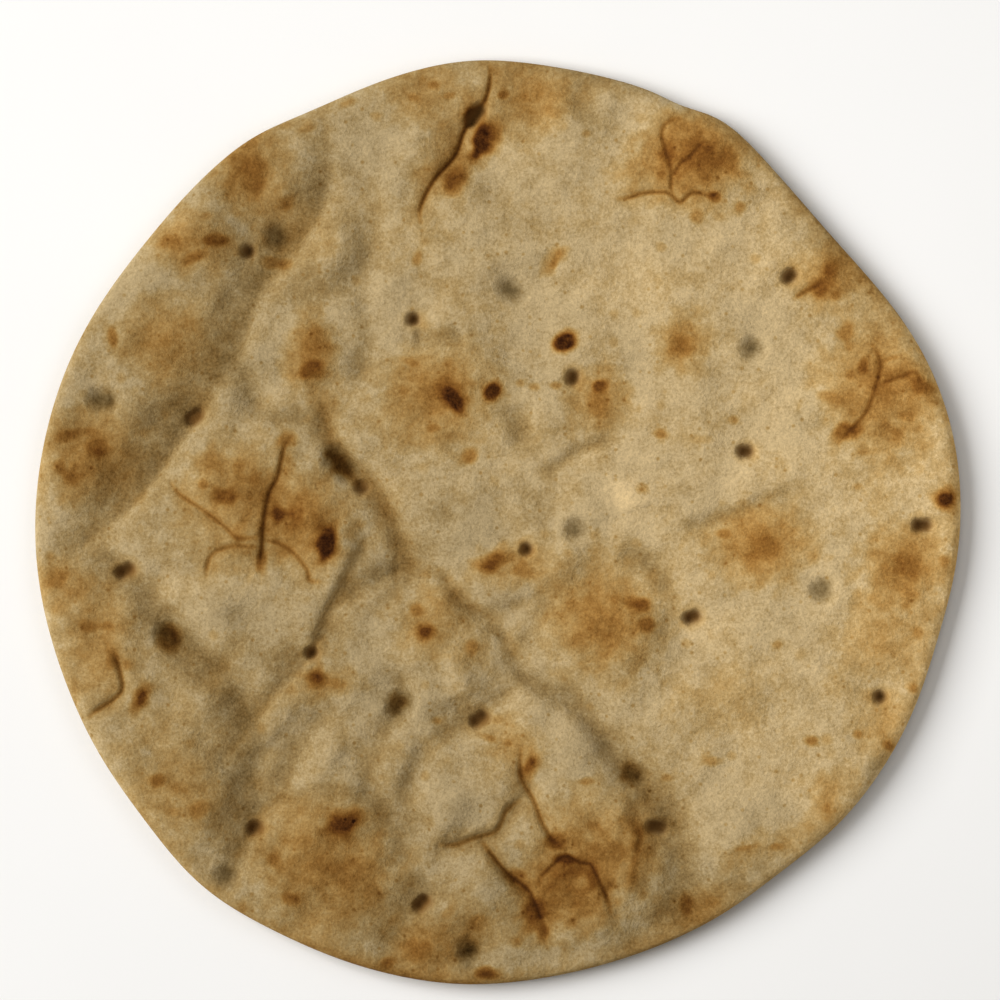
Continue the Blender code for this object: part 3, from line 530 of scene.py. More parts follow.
def plane_grid(pitch, least_inset):
    """A triangular lattice over the whole round, kept inside an inset."""
    count = int(ROLL_RADIUS // pitch) + 4
    columns, rows = np.meshgrid(np.arange(-count, count + 1), np.arange(-2 * count, 2 * count + 1))
    x = ((columns + 0.5 * (rows % 2)) * pitch).ravel()
    y = (rows * pitch * math.sqrt(3) / 2).ravel()
    inside = edge_distance(x, y) > least_inset
    return np.column_stack((x[inside], y[inside]))


def outline_ring(inset):
    """Points round the outline, an inset inside it."""
    angles = np.arange(RIM_POINTS) * 2 * math.pi / RIM_POINTS
    radii = outline_radius(angles) - inset
    return np.column_stack((radii * np.cos(angles), radii * np.sin(angles)))


def with_clear(points, extra, gap):
    """Adds the further points that keep a gap to all the points before them."""
    tree = KDTree(len(points))
    for i, (x, y) in enumerate(points):
        tree.insert((x, y, 0.0), i)
    tree.balance()
    clear = [tree.find((x, y, 0.0))[2] > gap for x, y in extra]
    return np.vstack((points, extra[clear]))


def fold_rows(path):
    """Points along a fold and on both sides of it."""
    middles = smooth_path(path, FOLD_PITCH / 2)
    run = np.gradient(middles, axis=0)
    side = np.column_stack((-run[:, 1], run[:, 0])) / np.hypot(*run.T)[:, None]
    return np.vstack([middles + side * offset for offset in FOLD_ROWS])


def near_detail(points, small_spots):
    """Which points lie where the skin needs its finest corners."""
    x, y = points.T
    fine = np.zeros(len(points), bool)
    for _, _, _, path in FOLDS:
        fine |= path_distance(x, y, smooth_path(path, FOLD_ZONE_PITCH))[0] < FOLD_ZONE
    holes = [(cx, cy, PIN_RADIUS + HOLE_ZONE) for cx, cy in PINS]
    holes += [(cx, cy, DIMPLE_RADIUS + HOLE_ZONE) for cx, cy in DIMPLES]
    for cx, cy, reach in holes + small_spots:
        fine |= np.hypot(x - cx, y - cy) < reach
    return fine


def add_face(corners, faces, rim, inner, heights, upward):
    """Triangles over the rim and its inner points. The rim's own corners are shared."""
    edges = [(i, (i + 1) % len(rim)) for i in range(len(rim))]
    flat = [Vector(point) for point in np.vstack((rim, inner))]
    _, _, triangles, origins, _, _ = delaunay_2d_cdt(flat, edges, [], 1, JOIN_DISTANCE)
    first = len(corners) - len(rim)
    where = [o[0] if o[0] < len(rim) else o[0] + first for o in origins]
    corners.extend((x, y, z) for (x, y), z in zip(inner, heights))
    for triangle in triangles:
        order = triangle if upward else triangle[::-1]
        faces.append([where[i] for i in order])


# ------------------------------------------------------------------------------------------------
# The toasting. Where the skin stood nearest to the oven's roof it browned: broad golden blushes,
# brown patches with a plainer edge, and a few charred spots. Each place is its middle, half length,
# half width, turn in degrees, and how far it takes the skin from pale to burnt, 0 to 1.
# ------------------------------------------------------------------------------------------------
GOLDEN_BLUSHES = (
    (-45.7, 65.1, 6.3, 7.8, 0, 0.22), (-55.9, 52.2, 8.1, 5.5, 0, 0.2), (-40.5, 54.9, 5.5, 4.8, 0, 0.1),
    (-61.8, 33.3, 7.8, 7.4, 0, 0.2), (-75.3, 12.4, 8.5, 8.1, 0, 0.26), (-80.8, -11.7, 6.3, 4.8, 0, 0.16),
    (-73.4, -21.8, 6.3, 9.2, 0, 0.18), (-60.1, -48.7, 8.9, 9.6, 0, 0.13), (-47.9, 5.9, 8.5, 8.1, 0, 0.24),
    (-36.1, 0.4, 8.5, 7.8, 0, 0.28), (-49.0, -6.1, 6.7, 4.1, 0, 0.1), (-12.0, 22.9, 8.9, 9.6, -30, 0.2),
    (-9.8, 24.1, 4.1, 4.4, -40, 0.16), (18.7, 22.9, 5.5, 5.9, 0, 0.2), (-34.2, 31.4, 4.4, 6.7, 5, 0.24),
    (34.2, 33.3, 4.8, 4.8, 0, 0.2), (36.6, 67.9, 9.6, 8.5, -10, 0.26), (26.5, 65.1, 5.5, 3.7, 0, 0.12),
    (5.7, 79.5, 6.7, 7.4, 0, 0.2), (-13.3, 79.5, 7.0, 6.3, 0, 0.16), (-8.7, 68.8, 4.8, 7.4, -30, 0.16),
    (62.0, 45.5, 6.3, 5.5, -40, 0.18), (69.9, 24.1, 11.5, 9.6, -70, 0.22),
    (77.3, 22.6, 6.7, 7.4, 0, 0.12), (49.0, -4.3, 8.5, 7.0, 0, 0.26), (75.5, -8.1, 8.1, 6.7, 0, 0.26),
    (73.3, -20.4, 8.1, 8.9, 0, 0.13), (19.8, -18.1, 9.6, 10.0, 0, 0.24), (2.8, -8.1, 6.7, 3.7, 10, 0.18),
    (-11.7, -18.1, 6.7, 6.3, 0, 0.12), (-31.8, -30.0, 6.3, 2.6, 10, 0.18),
    (-31.3, -63.6, 13.3, 11.5, -15, 0.24), (-12.4, -78.8, 6.7, 5.2, 0, 0.24),
    (-3.5, -74.4, 6.7, 4.1, 0, 0.14), (14.2, -67.3, 9.2, 8.5, 0, 0.3),
    (19.1, -59.2, 10.4, 8.5, -40, 0.18), (8.0, -70.9, 5.5, 6.3, 0, 0.16),
    (26.5, -59.8, 3.3, 8.1, 0, 0.18), (2.8, -41.3, 5.5, 4.1, -30, 0.12),
    (37.6, -71.0, 7.4, 3.3, 20, 0.18), (49.6, -60.3, 8.1, 3.0, 20, 0.12),
    (61.4, -51.8, 3.3, 6.3, -10, 0.16), (70.9, -38.1, 4.8, 6.3, -30, 0.14),
    (42.2, -33.9, 8.5, 7.0, 0, 0.07), (-4.6, -24.1, 3.7, 3.3, 0, 0.1), (-52.2, -52.4, 5.5, 6.3, 0, 0.06),
)
BROWN_PATCHES = (
    (-46.1, 64.8, 3.1, 4.4, 0, 0.34), (-48.3, 67.0, 1.9, 1.5, 0, 0.1), (-60.1, 51.6, 2.4, 1.7, 0, 0.34),
    (-55.9, 49.0, 2.6, 1.1, 30, 0.36), (-51.8, 52.2, 2.2, 1.1, 5, 0.6), (-53.6, 56.6, 1.3, 0.9, 0, 0.2),
    (-38.7, 59.0, 1.3, 1.3, 0, 0.22), (-42.0, 48.1, 2.2, 1.3, -10, 0.34), (-39.2, 47.7, 1.5, 1.1, 0, 0.3),
    (-71.0, 34.0, 0.9, 1.9, 10, 0.42), (-34.4, 28.4, 2.7, 1.8, 20, 0.6), (-33.9, 33.1, 2.4, 3.1, 0, 0.26),
    (-73.9, 13.8, 2.6, 2.0, -20, 0.36), (-73.5, 13.0, 1.1, 0.8, -20, 0.4), (-78.3, 8.3, 1.9, 1.5, 0, 0.4),
    (-80.7, 10.2, 1.1, 1.5, 0, 0.36), (-79.7, 15.9, 2.2, 1.1, 20, 0.32), (-75.7, 16.6, 2.6, 0.9, 0, 0.22),
    (-38.9, 15.2, 2.0, 1.3, 20, 0.34), (-54.2, 7.0, 1.1, 1.1, 0, 0.34), (-49.8, 4.7, 2.1, 1.8, 0, 0.52),
    (-44.8, 8.0, 1.3, 1.7, 0, 0.36), (-46.1, 11.1, 1.5, 0.9, 0, 0.06), (-36.9, 1.3, 1.3, 1.7, -30, 0.4),
    (-53.0, 11.5, 3.0, 1.7, 0, 0.2), (-40.3, 1.4, 1.3, 1.7, 0, 0.66), (-33.5, 0.4, 1.9, 1.7, 0, 0.16),
    (-31.3, -3.9, 3.9, 2.5, 75, 0.54), (-43.5, -7.0, 1.1, 3.0, 0, 0.42), (-17.2, 24.4, 1.1, 0.9, 0, 0.16),
    (-16.1, 29.6, 1.7, 0.7, -20, 0.26), (-11.7, 17.4, 1.5, 0.7, 0, 0.22),
    (-13.9, 26.3, 1.5, 1.1, 0, 0.06), (-8.3, 23.4, 3.9, 2.3, -58, 0.55), (-0.8, 24.2, 2.5, 1.8, 15, 0.6),
    (11.9, 78.6, 4.6, 4.0, 0, 0.15), (61.5, 44.0, 3.4, 2.3, -50, 0.2), (70.5, 26.0, 5.0, 3.0, -60, 0.14),
    (37.0, 68.5, 8.0, 5.5, -20, 0.14), (4.3, 25.7, 0.9, 0.7, 0, 0.22), (6.8, 25.0, 1.1, 0.7, 0, 0.24),
    (10.9, 25.3, 1.1, 0.7, 0, 0.28), (12.6, 33.3, 2.7, 1.7, 38, 0.62), (19.2, 25.2, 1.7, 1.3, 20, 0.62),
    (18.7, 21.8, 2.2, 2.6, 0, 0.26), (-5.0, 12.2, 1.7, 1.7, 0, 0.46), (34.4, 32.6, 2.4, 2.4, 0, 0.3),
    (33.9, 35.0, 1.5, 1.1, 0, 0.08), (38.5, 67.0, 5.5, 3.7, -20, 0.32), (35.7, 72.9, 4.4, 1.5, 10, 0.08),
    (31.6, 68.8, 1.5, 2.6, 0, 0.44), (42.7, 67.3, 1.9, 2.6, -20, 0.14), (25.2, 64.6, 2.2, 0.9, 0, 0.14),
    (37.0, 56.6, 1.5, 1.5, 0, 0.36), (45.0, 58.3, 1.1, 1.1, 0, 0.42), (40.1, 60.3, 1.3, 1.1, 0, 0.62),
    (-2.2, 70.9, 4.5, 2.5, 72, 0.66), (-0.4, 73.6, 1.3, 0.9, 50, 0.2), (-7.8, 63.5, 3.7, 2.0, 50, 0.6),
    (-11.7, 80.7, 1.1, 0.9, 0, 0.3), (-15.5, 78.6, 1.1, 0.9, 0, 0.26), (-8.9, 78.8, 1.1, 0.7, 0, 0.34),
    (1.1, 79.0, 1.1, 0.9, 0, 0.48), (5.0, 78.6, 0.9, 0.7, 0, 0.2), (10.4, 48.5, 1.7, 3.3, -25, 0.28),
    (10.7, 48.1, 0.9, 2.2, -25, 0.26), (-14.6, 48.8, 0.9, 1.7, -20, 0.32),
    (62.0, 46.6, 1.9, 2.2, 0, 0.46), (60.1, 43.7, 3.0, 1.3, 20, 0.42), (62.7, 41.8, 1.1, 1.1, 0, 0.36),
    (64.4, 34.8, 1.9, 1.1, 0, 0.34), (67.9, 28.9, 1.1, 1.7, 0, 0.5), (61.6, 23.1, 3.0, 1.1, -10, 0.22),
    (65.7, 23.5, 1.1, 0.9, 0, 0.08), (64.8, 16.8, 2.9, 1.8, 15, 0.52), (78.3, 25.3, 2.2, 1.7, -30, 0.5),
    (75.7, 19.6, 2.2, 1.1, 0, 0.28), (73.3, 17.0, 2.2, 0.9, -40, 0.22), (69.4, 19.2, 1.5, 0.9, 0, 0.06),
    (74.2, 27.8, 1.9, 1.1, 0, 0.06), (68.6, 12.9, 2.2, 0.7, 10, 0.18), (82.9, 4.3, 2.3, 2.0, 20, 0.7),
    (49.4, -4.3, 3.3, 2.4, -20, 0.26), (47.2, -6.3, 1.9, 1.5, 0, 0.18), (41.8, -2.2, 1.3, 0.9, 0, 0.34),
    (76.0, -8.1, 3.3, 2.4, -10, 0.3), (73.8, -6.3, 1.5, 1.1, 0, 0.04), (82.7, -7.0, 1.3, 0.9, 0, 0.38),
    (26.5, -15.5, 2.4, 1.9, 0, 0.56), (27.8, -18.9, 1.9, 1.7, 0, 0.56), (20.5, -20.4, 3.7, 3.0, 0, 0.18),
    (17.2, -15.2, 2.6, 1.7, 0, 0.14), (16.1, -21.8, 1.9, 1.5, 0, 0.14), (-0.7, -7.4, 3.3, 1.7, 20, 0.52),
    (0.9, -5.2, 1.7, 1.3, 40, 0.22), (4.6, -8.9, 2.2, 1.3, 0, 0.28), (-13.3, -20.4, 2.2, 1.9, 10, 0.52),
    (-14.8, -16.3, 1.5, 1.3, 0, 0.44), (-9.8, -15.2, 1.1, 2.2, -20, 0.06),
    (-4.6, -23.1, 1.3, 1.7, 0, 0.3), (-33.5, -28.9, 2.2, 1.9, 0, 0.54), (-30.2, -29.8, 1.9, 0.9, 0, 0.24),
    (-81.2, -10.5, 2.4, 1.7, 20, 0.3), (-75.3, -19.4, 1.9, 1.3, 0, 0.34),
    (-72.2, -19.2, 1.3, 0.9, 0, 0.3), (-71.2, -25.5, 1.3, 1.9, 0, 0.3),
    (-65.9, -32.6, 1.7, 3.0, -25, 0.56), (-68.3, -26.3, 1.1, 1.1, 0, 0.22),
    (-78.1, -32.0, 1.1, 2.6, 15, 0.14), (-62.9, -47.9, 1.7, 1.3, 0, 0.4),
    (-58.6, -49.2, 1.9, 1.3, 0, 0.16), (-55.1, -53.1, 1.9, 1.7, 0, 0.32),
    (-59.6, -53.6, 1.5, 0.9, 0, 0.2), (-28.4, -55.8, 3.8, 2.6, 25, 0.66),
    (-41.3, -62.5, 1.7, 1.3, 0, 0.36), (-38.3, -69.6, 1.7, 1.3, 0, 0.44),
    (-26.8, -65.1, 4.8, 3.3, 0, 0.16), (-32.4, -62.9, 3.0, 2.2, 0, 0.14),
    (-22.6, -69.0, 2.6, 2.2, 0, 0.14), (-14.2, -79.2, 3.0, 2.0, 0, 0.3),
    (-20.2, -81.6, 1.5, 1.1, 0, 0.48), (-1.7, -83.6, 2.4, 1.3, 0, 0.68),
    (-9.1, -72.2, 1.5, 0.9, 30, 0.26), (-3.5, -73.8, 1.7, 1.3, 0, 0.26), (-10.4, -74.7, 1.1, 1.1, 0, 0.1),
    (-1.5, -40.0, 1.7, 0.9, -20, 0.32), (2.0, -40.9, 1.1, 0.9, 0, 0.26),
    (-11.3, -36.8, 0.9, 0.7, 0, 0.28), (6.1, -45.1, 1.5, 3.0, -35, 0.54), (5.0, -46.6, 1.1, 1.5, 0, 0.3),
    (13.5, -70.9, 4.1, 2.6, 20, 0.04), (12.4, -64.2, 3.0, 1.7, 0, 0.26), (17.2, -64.4, 2.2, 1.9, 0, 0.22),
    (7.0, -72.6, 2.0, 3.6, -20, 0.54), (8.3, -76.0, 1.3, 2.2, 10, 0.44),
    (3.5, -65.9, 2.6, 1.7, -30, 0.36), (10.9, -59.4, 2.2, 1.5, -20, 0.48),
    (12.8, -62.5, 2.2, 1.1, 0, 0.74), (17.9, -56.2, 1.9, 0.9, -20, 0.22),
    (21.3, -59.9, 1.7, 1.7, 0, 0.16), (17.8, -66.0, 1.3, 2.2, 10, 0.42), (16.5, -47.9, 1.5, 0.7, 0, 0.32),
    (26.1, -58.1, 1.3, 3.3, 0, 0.22), (25.3, -63.6, 0.9, 3.0, -10, 0.2), (35.0, -71.0, 1.5, 1.7, 0, 0.4),
    (39.8, -70.3, 1.7, 1.1, 20, 0.14), (51.8, -60.1, 1.5, 0.7, 0, 0.34),
    (45.9, -60.3, 1.9, 0.6, 10, 0.26), (61.4, -53.6, 1.3, 1.9, -10, 0.14),
    (58.3, -40.5, 1.3, 0.9, 0, 0.4), (66.6, -39.4, 1.1, 0.9, 0, 0.36), (39.8, -44.2, 1.7, 0.9, 0, 0.24),
    (31.3, -47.4, 1.1, 0.9, 0, 0.26), (72.5, -41.3, 1.3, 1.1, -40, 0.46),
    (77.1, -30.7, 1.1, 1.1, 0, 0.38), (77.9, -20.4, 1.1, 1.1, 0, 0.28), (66.8, 6.7, 0.9, 0.7, 0, 0.24),
    (51.8, -22.8, 0.9, 0.7, 0, 0.22), (30.3, 16.3, 1.1, 0.9, 0, 0.34), (27.0, 6.3, 1.1, 1.1, 0, 0.2),
    (43.7, 18.9, 1.1, 0.9, 0, 0.22), (38.3, 15.2, 1.9, 0.7, 0, 0.16), (-35.0, 72.9, 1.9, 0.9, 20, 0.22),
    (-27.9, 77.5, 1.7, 0.7, 20, 0.24), (-22.2, 75.1, 1.1, 0.7, 0, 0.16), (16.6, 71.8, 0.9, 0.7, 0, 0.22),
    # At four dimples, (-60.6, -21.6), (-29.0, 10.6), (-18.3, -33.5) and (25.2, -46.4): browned, and taken
    # darker still as painted shade.
    (-60.6, -21.6, 2.6, 2.8, 0, 0.5), (-29.0, 10.6, 3.6, 1.6, -50, 0.5),
    (-18.3, -33.5, 2.0, 1.7, 0, 0.34), (-5.5, -78.8, 2.2, 2.4, 0, 0.2), (25.2, -46.4, 2.4, 2.1, 0, 0.3),
)
CHARRED_SPOTS = (
    (-2.9, 70.5, 3.1, 1.5, 77, 0.45), (-8.2, 63.1, 2.2, 1.1, 50, 0.1), (-8.1, 22.9, 2.9, 1.4, -58, 0.36),
    (-0.8, 24.1, 1.9, 1.3, 15, 0.38), (12.6, 33.3, 2.3, 1.4, 38, 0.42), (-31.4, -4.1, 2.8, 1.7, 76, 0.54),
    (-40.0, 1.3, 0.7, 0.9, 0, 0.14), (-65.7, -32.6, 0.7, 1.7, -25, 0.26),
    (-28.6, -56.0, 2.6, 1.7, 25, 0.16), (-13.5, -20.4, 1.1, 0.9, 0, 0.24),
    (-33.3, -28.9, 1.1, 0.9, 0, 0.22), (82.9, 4.3, 1.4, 1.2, 20, 0.36), (6.1, -45.0, 0.7, 1.7, -35, 0.22),
    (-1.3, -7.8, 1.5, 0.7, 20, 0.2), (-4.6, 75.1, 1.1, 2.0, -30, 0.36),
)

# Where the edge browned more or less: direction in degrees, how much, and its spread in degrees.
RIM_BROWNED = (
    (2, 0.06, 9), (28, 0.05, 7), (42, 0.08, 10), (64, -0.06, 8), (98, -0.05, 10), (140, -0.14, 9),
    (186, -0.12, 18), (222, -0.03, 8), (240, 0.08, 8), (260, 0.38, 9), (302, 0.03, 8), (320, -0.06, 8),
)
RIM_TOAST = 0.08
RIM_TOAST_WIDTH = 2.0

# Each group of places, how soft their edges are, and how strongly they count.
TOASTED = ((GOLDEN_BLUSHES, 0.95, 1.7), (BROWN_PATCHES, 0.65, 1.13), (CHARRED_SPOTS, 0.42, 2.3))
INNER_SOFTNESS = 0.9
OUTER_SOFTNESS = 0.6
TOAST_REACH = 1.9
FULLEST_TOAST = 0.92
PALE_TOAST = 0.025
DRIFT_TOAST = 0.022
LEFT_TOAST = 0.02
LEFT_REACH = (20.0, -40.0)
EDGE_WANDER = 0.1
UNEVEN_TOAST = 0.07

# Clouds of browning: their shortest and longest wave, how many, and their seed.
WANDER_WAVES = ((2.5, 14.0), 60, 7)
UNEVEN_WAVES = ((1.4, 6.0), 80, 8)
DRIFT_WAVES = ((9.0, 45.0), 40, 9)
FRECKLE_WAVES = ((4.0, 13.0), 60, 17)
UNDERSIDE_DRIFT_WAVES = ((14.0, 50.0), 40, 19)

# Painted light and shade: towards the right, the top, both sides and both ends, and low on the left; then
# on the edge a painted lit band and a painted shaded line, each facing a direction in degrees; and one
# painted shaded place.
PAINTED_LIGHT_RIGHT = 0.24
PAINTED_LIGHT_UP = 0.08
PAINTED_LIGHT_SIDES = 0.14
PAINTED_LIGHT_ENDS = -0.08
PAINTED_LIGHT_LOW_LEFT = 0.18
LOW_LEFT_REACH = 1.4
RIM_PAINTED_LIGHT = 0.7
RIM_PAINTED_LIGHT_WIDTH = 0.95
RIM_PAINTED_LIGHT_SIDE = -15.0
RIM_PAINTED_SHADE = 0.28
RIM_PAINTED_SHADE_WIDTH = 2.0
RIM_PAINTED_SHADE_SIDE = 15.0
LOW_PAINTED_SHADE = 0.08
LOW_PAINTED_SHADE_WIDTH = 24.0
LOW_PAINTED_SHADE_PLACE = (4.0, -70.0)

# The underside, freckled where it touched the oven floor.
UNDERSIDE_TOAST = 0.16
UNDERSIDE_DRIFT = 0.25
UNTOUCHED_TOAST = 0.45
UNDERSIDE_BLOTCH = 0.3
BLOTCH_DRIFT = 0.5
BLOTCH_RISE = (0.1, 1.9)
TOUCHED_BELOW = (0.35, -0.1)
TOUCHED_INSET = (1.0, 9.0)


def toasted_by(keep, x, y, wander, uneven, places, softness, gain):
    """Takes a group of toasted places off the paleness that is left."""
    for cx, cy, half_length, half_width, turn, level in places:
        near = np.hypot(x - cx, y - cy) < TOAST_REACH * max(half_length, half_width)
        u, v = in_oval(x[near], y[near], cx, cy, half_length, half_width, turn)
        out = np.hypot(u, v) * (1 + EDGE_WANDER * wander[near])
        share = 1 - smooth_step(1 - INNER_SOFTNESS * softness, 1 + OUTER_SOFTNESS * softness, out)
        full = min(gain * level, FULLEST_TOAST)
        keep[near] *= 1 - full * share * (1 + UNEVEN_TOAST * uneven[near])


def crust_toast(x, y):
    """How toasted the upper face is."""
    wander = chance_waves(x, y, *WANDER_WAVES)
    uneven = chance_waves(x, y, *UNEVEN_WAVES)
    drift = chance_waves(x, y, *DRIFT_WAVES)
    plain = PALE_TOAST + DRIFT_TOAST * drift + LEFT_TOAST * smooth_step(*LEFT_REACH, x)
    edge = round_the_edge(np.arctan2(y, x), RIM_TOAST, RIM_BROWNED)
    plain += edge * np.exp(-((edge_distance(x, y) / RIM_TOAST_WIDTH) ** 2))
    keep = 1 - np.clip(plain, 0.0, 1.0)
    for places, softness, gain in TOASTED:
        toasted_by(keep, x, y, wander, uneven, places, softness, gain)
    for _, trough, _, browning in valley_forms(x, y):
        keep *= 1 - browning * trough
    return 1 - keep


def crust_hollow_shade(x, y):
    """How deep a point lies in its valleys, where painted shade darkens the dough and browns its hue."""
    return sum(depth * trough for depth, trough, _, _ in valley_forms(x, y))


def crust_painted_light(x, y):
    """Painted light and shade: lighter towards the right, the top and both sides and low on the left,
    darker towards both ends, with a lit band on the edge's right side, a darker outermost edge, and one
    darker place low in the middle.
    """
    along, up = x / ROLL_RADIUS, y / ROLL_RADIUS
    inset, angle = edge_distance(x, y), np.arctan2(y, x)
    lit_side = np.clip(np.cos(angle - math.radians(RIM_PAINTED_LIGHT_SIDE)), 0.0, 1.0)
    shaded_side = (1 + np.cos(angle - math.radians(RIM_PAINTED_SHADE_SIDE))) / 2
    shade_spot = np.hypot(x - LOW_PAINTED_SHADE_PLACE[0], y - LOW_PAINTED_SHADE_PLACE[1]) / LOW_PAINTED_SHADE_WIDTH
    local = RIM_PAINTED_LIGHT * lit_side * np.exp(-((inset / RIM_PAINTED_LIGHT_WIDTH) ** 2))
    local -= RIM_PAINTED_SHADE * shaded_side * np.exp(-((inset / RIM_PAINTED_SHADE_WIDTH) ** 2))
    local += PAINTED_LIGHT_LOW_LEFT * np.clip(-(along + up) / LOW_LEFT_REACH, 0.0, 1.0) ** 2
    local -= LOW_PAINTED_SHADE * np.exp(-(shade_spot**2))
    broad = PAINTED_LIGHT_RIGHT * along + PAINTED_LIGHT_UP * up + PAINTED_LIGHT_SIDES * along**2 + PAINTED_LIGHT_ENDS * up**2
    return (1 + local) * (1 + broad)


def underside_toast(x, y):
    """How toasted the lower face is: freckled where it touched the hot floor, pale in its hollows."""
    freckles = chance_waves(x, y, *FRECKLE_WAVES)
    drift = chance_waves(x, y, *UNDERSIDE_DRIFT_WAVES)
    touched = smooth_step(*TOUCHED_BELOW, plane_waves(x, y, UNDERSIDE_WAVES))
    touched *= smooth_step(*TOUCHED_INSET, edge_distance(x, y))
    blotch = smooth_step(*BLOTCH_RISE, freckles + BLOTCH_DRIFT * drift)
    even = (1 + UNDERSIDE_DRIFT * drift) * (UNTOUCHED_TOAST + (1 - UNTOUCHED_TOAST) * touched)
    return UNDERSIDE_TOAST * even + UNDERSIDE_BLOTCH * blotch * touched


# ------------------------------------------------------------------------------------------------
# The skin's corners, before it is pricked and folded: the toughened outer layer of the dough, over the
# top and the underside as one closed sheet. Each corner keeps how toasted it is, and its painted light
# and shade.
# ------------------------------------------------------------------------------------------------
small_spots = [
    (cx, cy, SPOT_ZONE * max(half_length, half_width))
    for cx, cy, half_length, half_width, _, level in BROWN_PATCHES + CHARRED_SPOTS
    if max(half_length, half_width) < SMALL_SPOT and level > SMALL_SPOT_LEVEL
]
rim = outline_ring(0.0)
upper = np.vstack([outline_ring(inset) for inset in CRUST_INSETS])
for _, _, _, path in FOLDS:
    rows = fold_rows(path)
    inset = edge_distance(*rows.T)
    upper = with_clear(upper, rows[inset > RIM_CLEARANCE], FOLD_GAP)
fine_grid = plane_grid(FINE_PITCH, CRUST_INSETS[-1] + FINE_PITCH)
upper = with_clear(upper, fine_grid[near_detail(fine_grid, small_spots)], FINE_GAP)
wide_grid = plane_grid(WIDE_PITCH, CRUST_INSETS[-1] + WIDE_PITCH)
upper = with_clear(upper, wide_grid[~near_detail(wide_grid, small_spots)], WIDE_GAP)
lower = np.vstack([outline_ring(inset) for inset in UNDERSIDE_INSETS])
underside_grid = plane_grid(UNDERSIDE_PITCH, UNDERSIDE_INSETS[-1] + UNDERSIDE_START)
lower = with_clear(lower, underside_grid, UNDERSIDE_GAP)

corners = [(x, y, EDGE_HEIGHT) for x, y in rim]
faces = []
add_face(corners, faces, rim, upper, crust_height(*upper.T), True)
upper_count = len(corners)
add_face(corners, faces, rim, lower, underside_height(*lower.T), False)
corners = np.array(corners)
on_crust = np.arange(len(corners)) < upper_count
x, y, _ = corners.T
inset = edge_distance(x, y)

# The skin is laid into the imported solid's box: the same middle, and no larger.
box_low, box_high = (np.array(corner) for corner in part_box("pita"))
own_low, own_high = corners.min(axis=0), corners.max(axis=0)
own_middle, box_middle = (own_low + own_high) / 2, (box_low + box_high) / 2
FIT = np.minimum((box_high - box_low) / (own_high - own_low), MM) - BOX_CLEARANCE


def placed(points):
    """Points in millimetres from the middle of the roll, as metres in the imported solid's frame."""
    flat = (points[:, :2] - own_middle[:2]) * FIT[:2] + box_middle[:2]
    return np.column_stack((flat, points[:, 2] * FIT[2] + box_low[2]))


skin_mesh = bpy.data.meshes.new("pita skin")
skin_mesh.from_pydata(placed(corners).tolist(), [], faces)
# What each corner keeps, among them its painted shade in the valleys and its painted light and shade over
# the round.
for name, values in (
    ("crust", on_crust * smooth_step(*CUT_FADE, inset)),
    ("hollow", on_crust * crust_hollow_shade(x, y)),
    ("flour", np.where(on_crust, crust_painted_light(x, y), 1.0)),
    ("toast", np.where(on_crust, crust_toast(x, y), underside_toast(x, y))),
):
    skin_mesh.attributes.new(name, "FLOAT", "POINT").data.foreach_set("value", values)
skin = bpy.data.objects.new("pita_skin", skin_mesh)
bpy.context.collection.objects.link(skin)


# ------------------------------------------------------------------------------------------------
# Pricking the skin. The docker's pins left holes with steep soft walls, and its blunt pegs left
# dimples. A hole that was dragged while the dough was soft is a short stroke instead of a point.
# ------------------------------------------------------------------------------------------------
PIN_DRAGS = {
    (1, -1): (1.5, 2.0), (3, -1): (0.5, 0.4), (2, 0): (0.1, 0.5), (3, 0): (0.8, 0.0), (4, 0): (1.3, 0.0),
    (0, 1): (0.9, 0.7), (3, 1): (1.0, 0.3), (0, 2): (1.4, 0.6), (2, 2): (1.2, 0.8), (3, 2): (1.4, -0.2),
    (1, 3): (0.8, 0.3), (2, 3): (1.0, 0.9),
}
DIMPLE_DRAGS = {
    (0, 0): (0.0, 0.6), (1, 0): (-0.9, 0.6), (-1, 1): (1.3, 0.0), (0, 1): (2.2, -2.6),
    (-1, 2): (-1.2, 1.4), (0, 2): (0.8, 0.7),
}
LEAST_DRAG = 0.02
UNEVEN_LIP = 0.35
UNEVEN_LIP_SCALE = 700.0


def add(tree, kind, inputs=None, **settings):
    """Adds a node, sets it, and feeds its inputs with values or with other nodes' outputs."""
    node = tree.nodes.new(kind)
    for name, value in settings.items():
        setattr(node, name, value)
    for socket, value in (inputs or {}).items():
        if isinstance(value, bpy.types.NodeSocket):
            tree.links.new(value, node.inputs[socket])
        else:
            node.inputs[socket].default_value = value
    return node


def maths(tree, operation, *values):
    """The result of one sum, product and the like."""
    return add(tree, "ShaderNodeMath", dict(enumerate(values)), operation=operation).outputs[0]


def between(tree, value, low, high, first, last):
    """A value carried smoothly from one range to another."""
    return add(tree, "ShaderNodeMapRange", {0: value, 1: low, 2: high, 3: first, 4: last},
               interpolation_type="SMOOTHSTEP").outputs[0]


def new_tree(name, sockets):
    """An empty tree that takes a skin and the named sizes, and gives a skin back."""
    tree = bpy.data.node_groups.new(name, "GeometryNodeTree")
    tree.interface.new_socket("Skin", in_out="OUTPUT", socket_type="NodeSocketGeometry")
    tree.interface.new_socket("Skin", in_out="INPUT", socket_type="NodeSocketGeometry")
    for socket, kind in sockets.items():
        tree.interface.new_socket(socket, in_out="INPUT", socket_type="NodeSocket" + kind)
    return tree, tree.nodes.new("NodeGroupInput").outputs


def stored(tree, name):
    """What each point keeps under a name."""
    return add(tree, "GeometryNodeInputNamedAttribute", {"Name": name}).outputs[0]


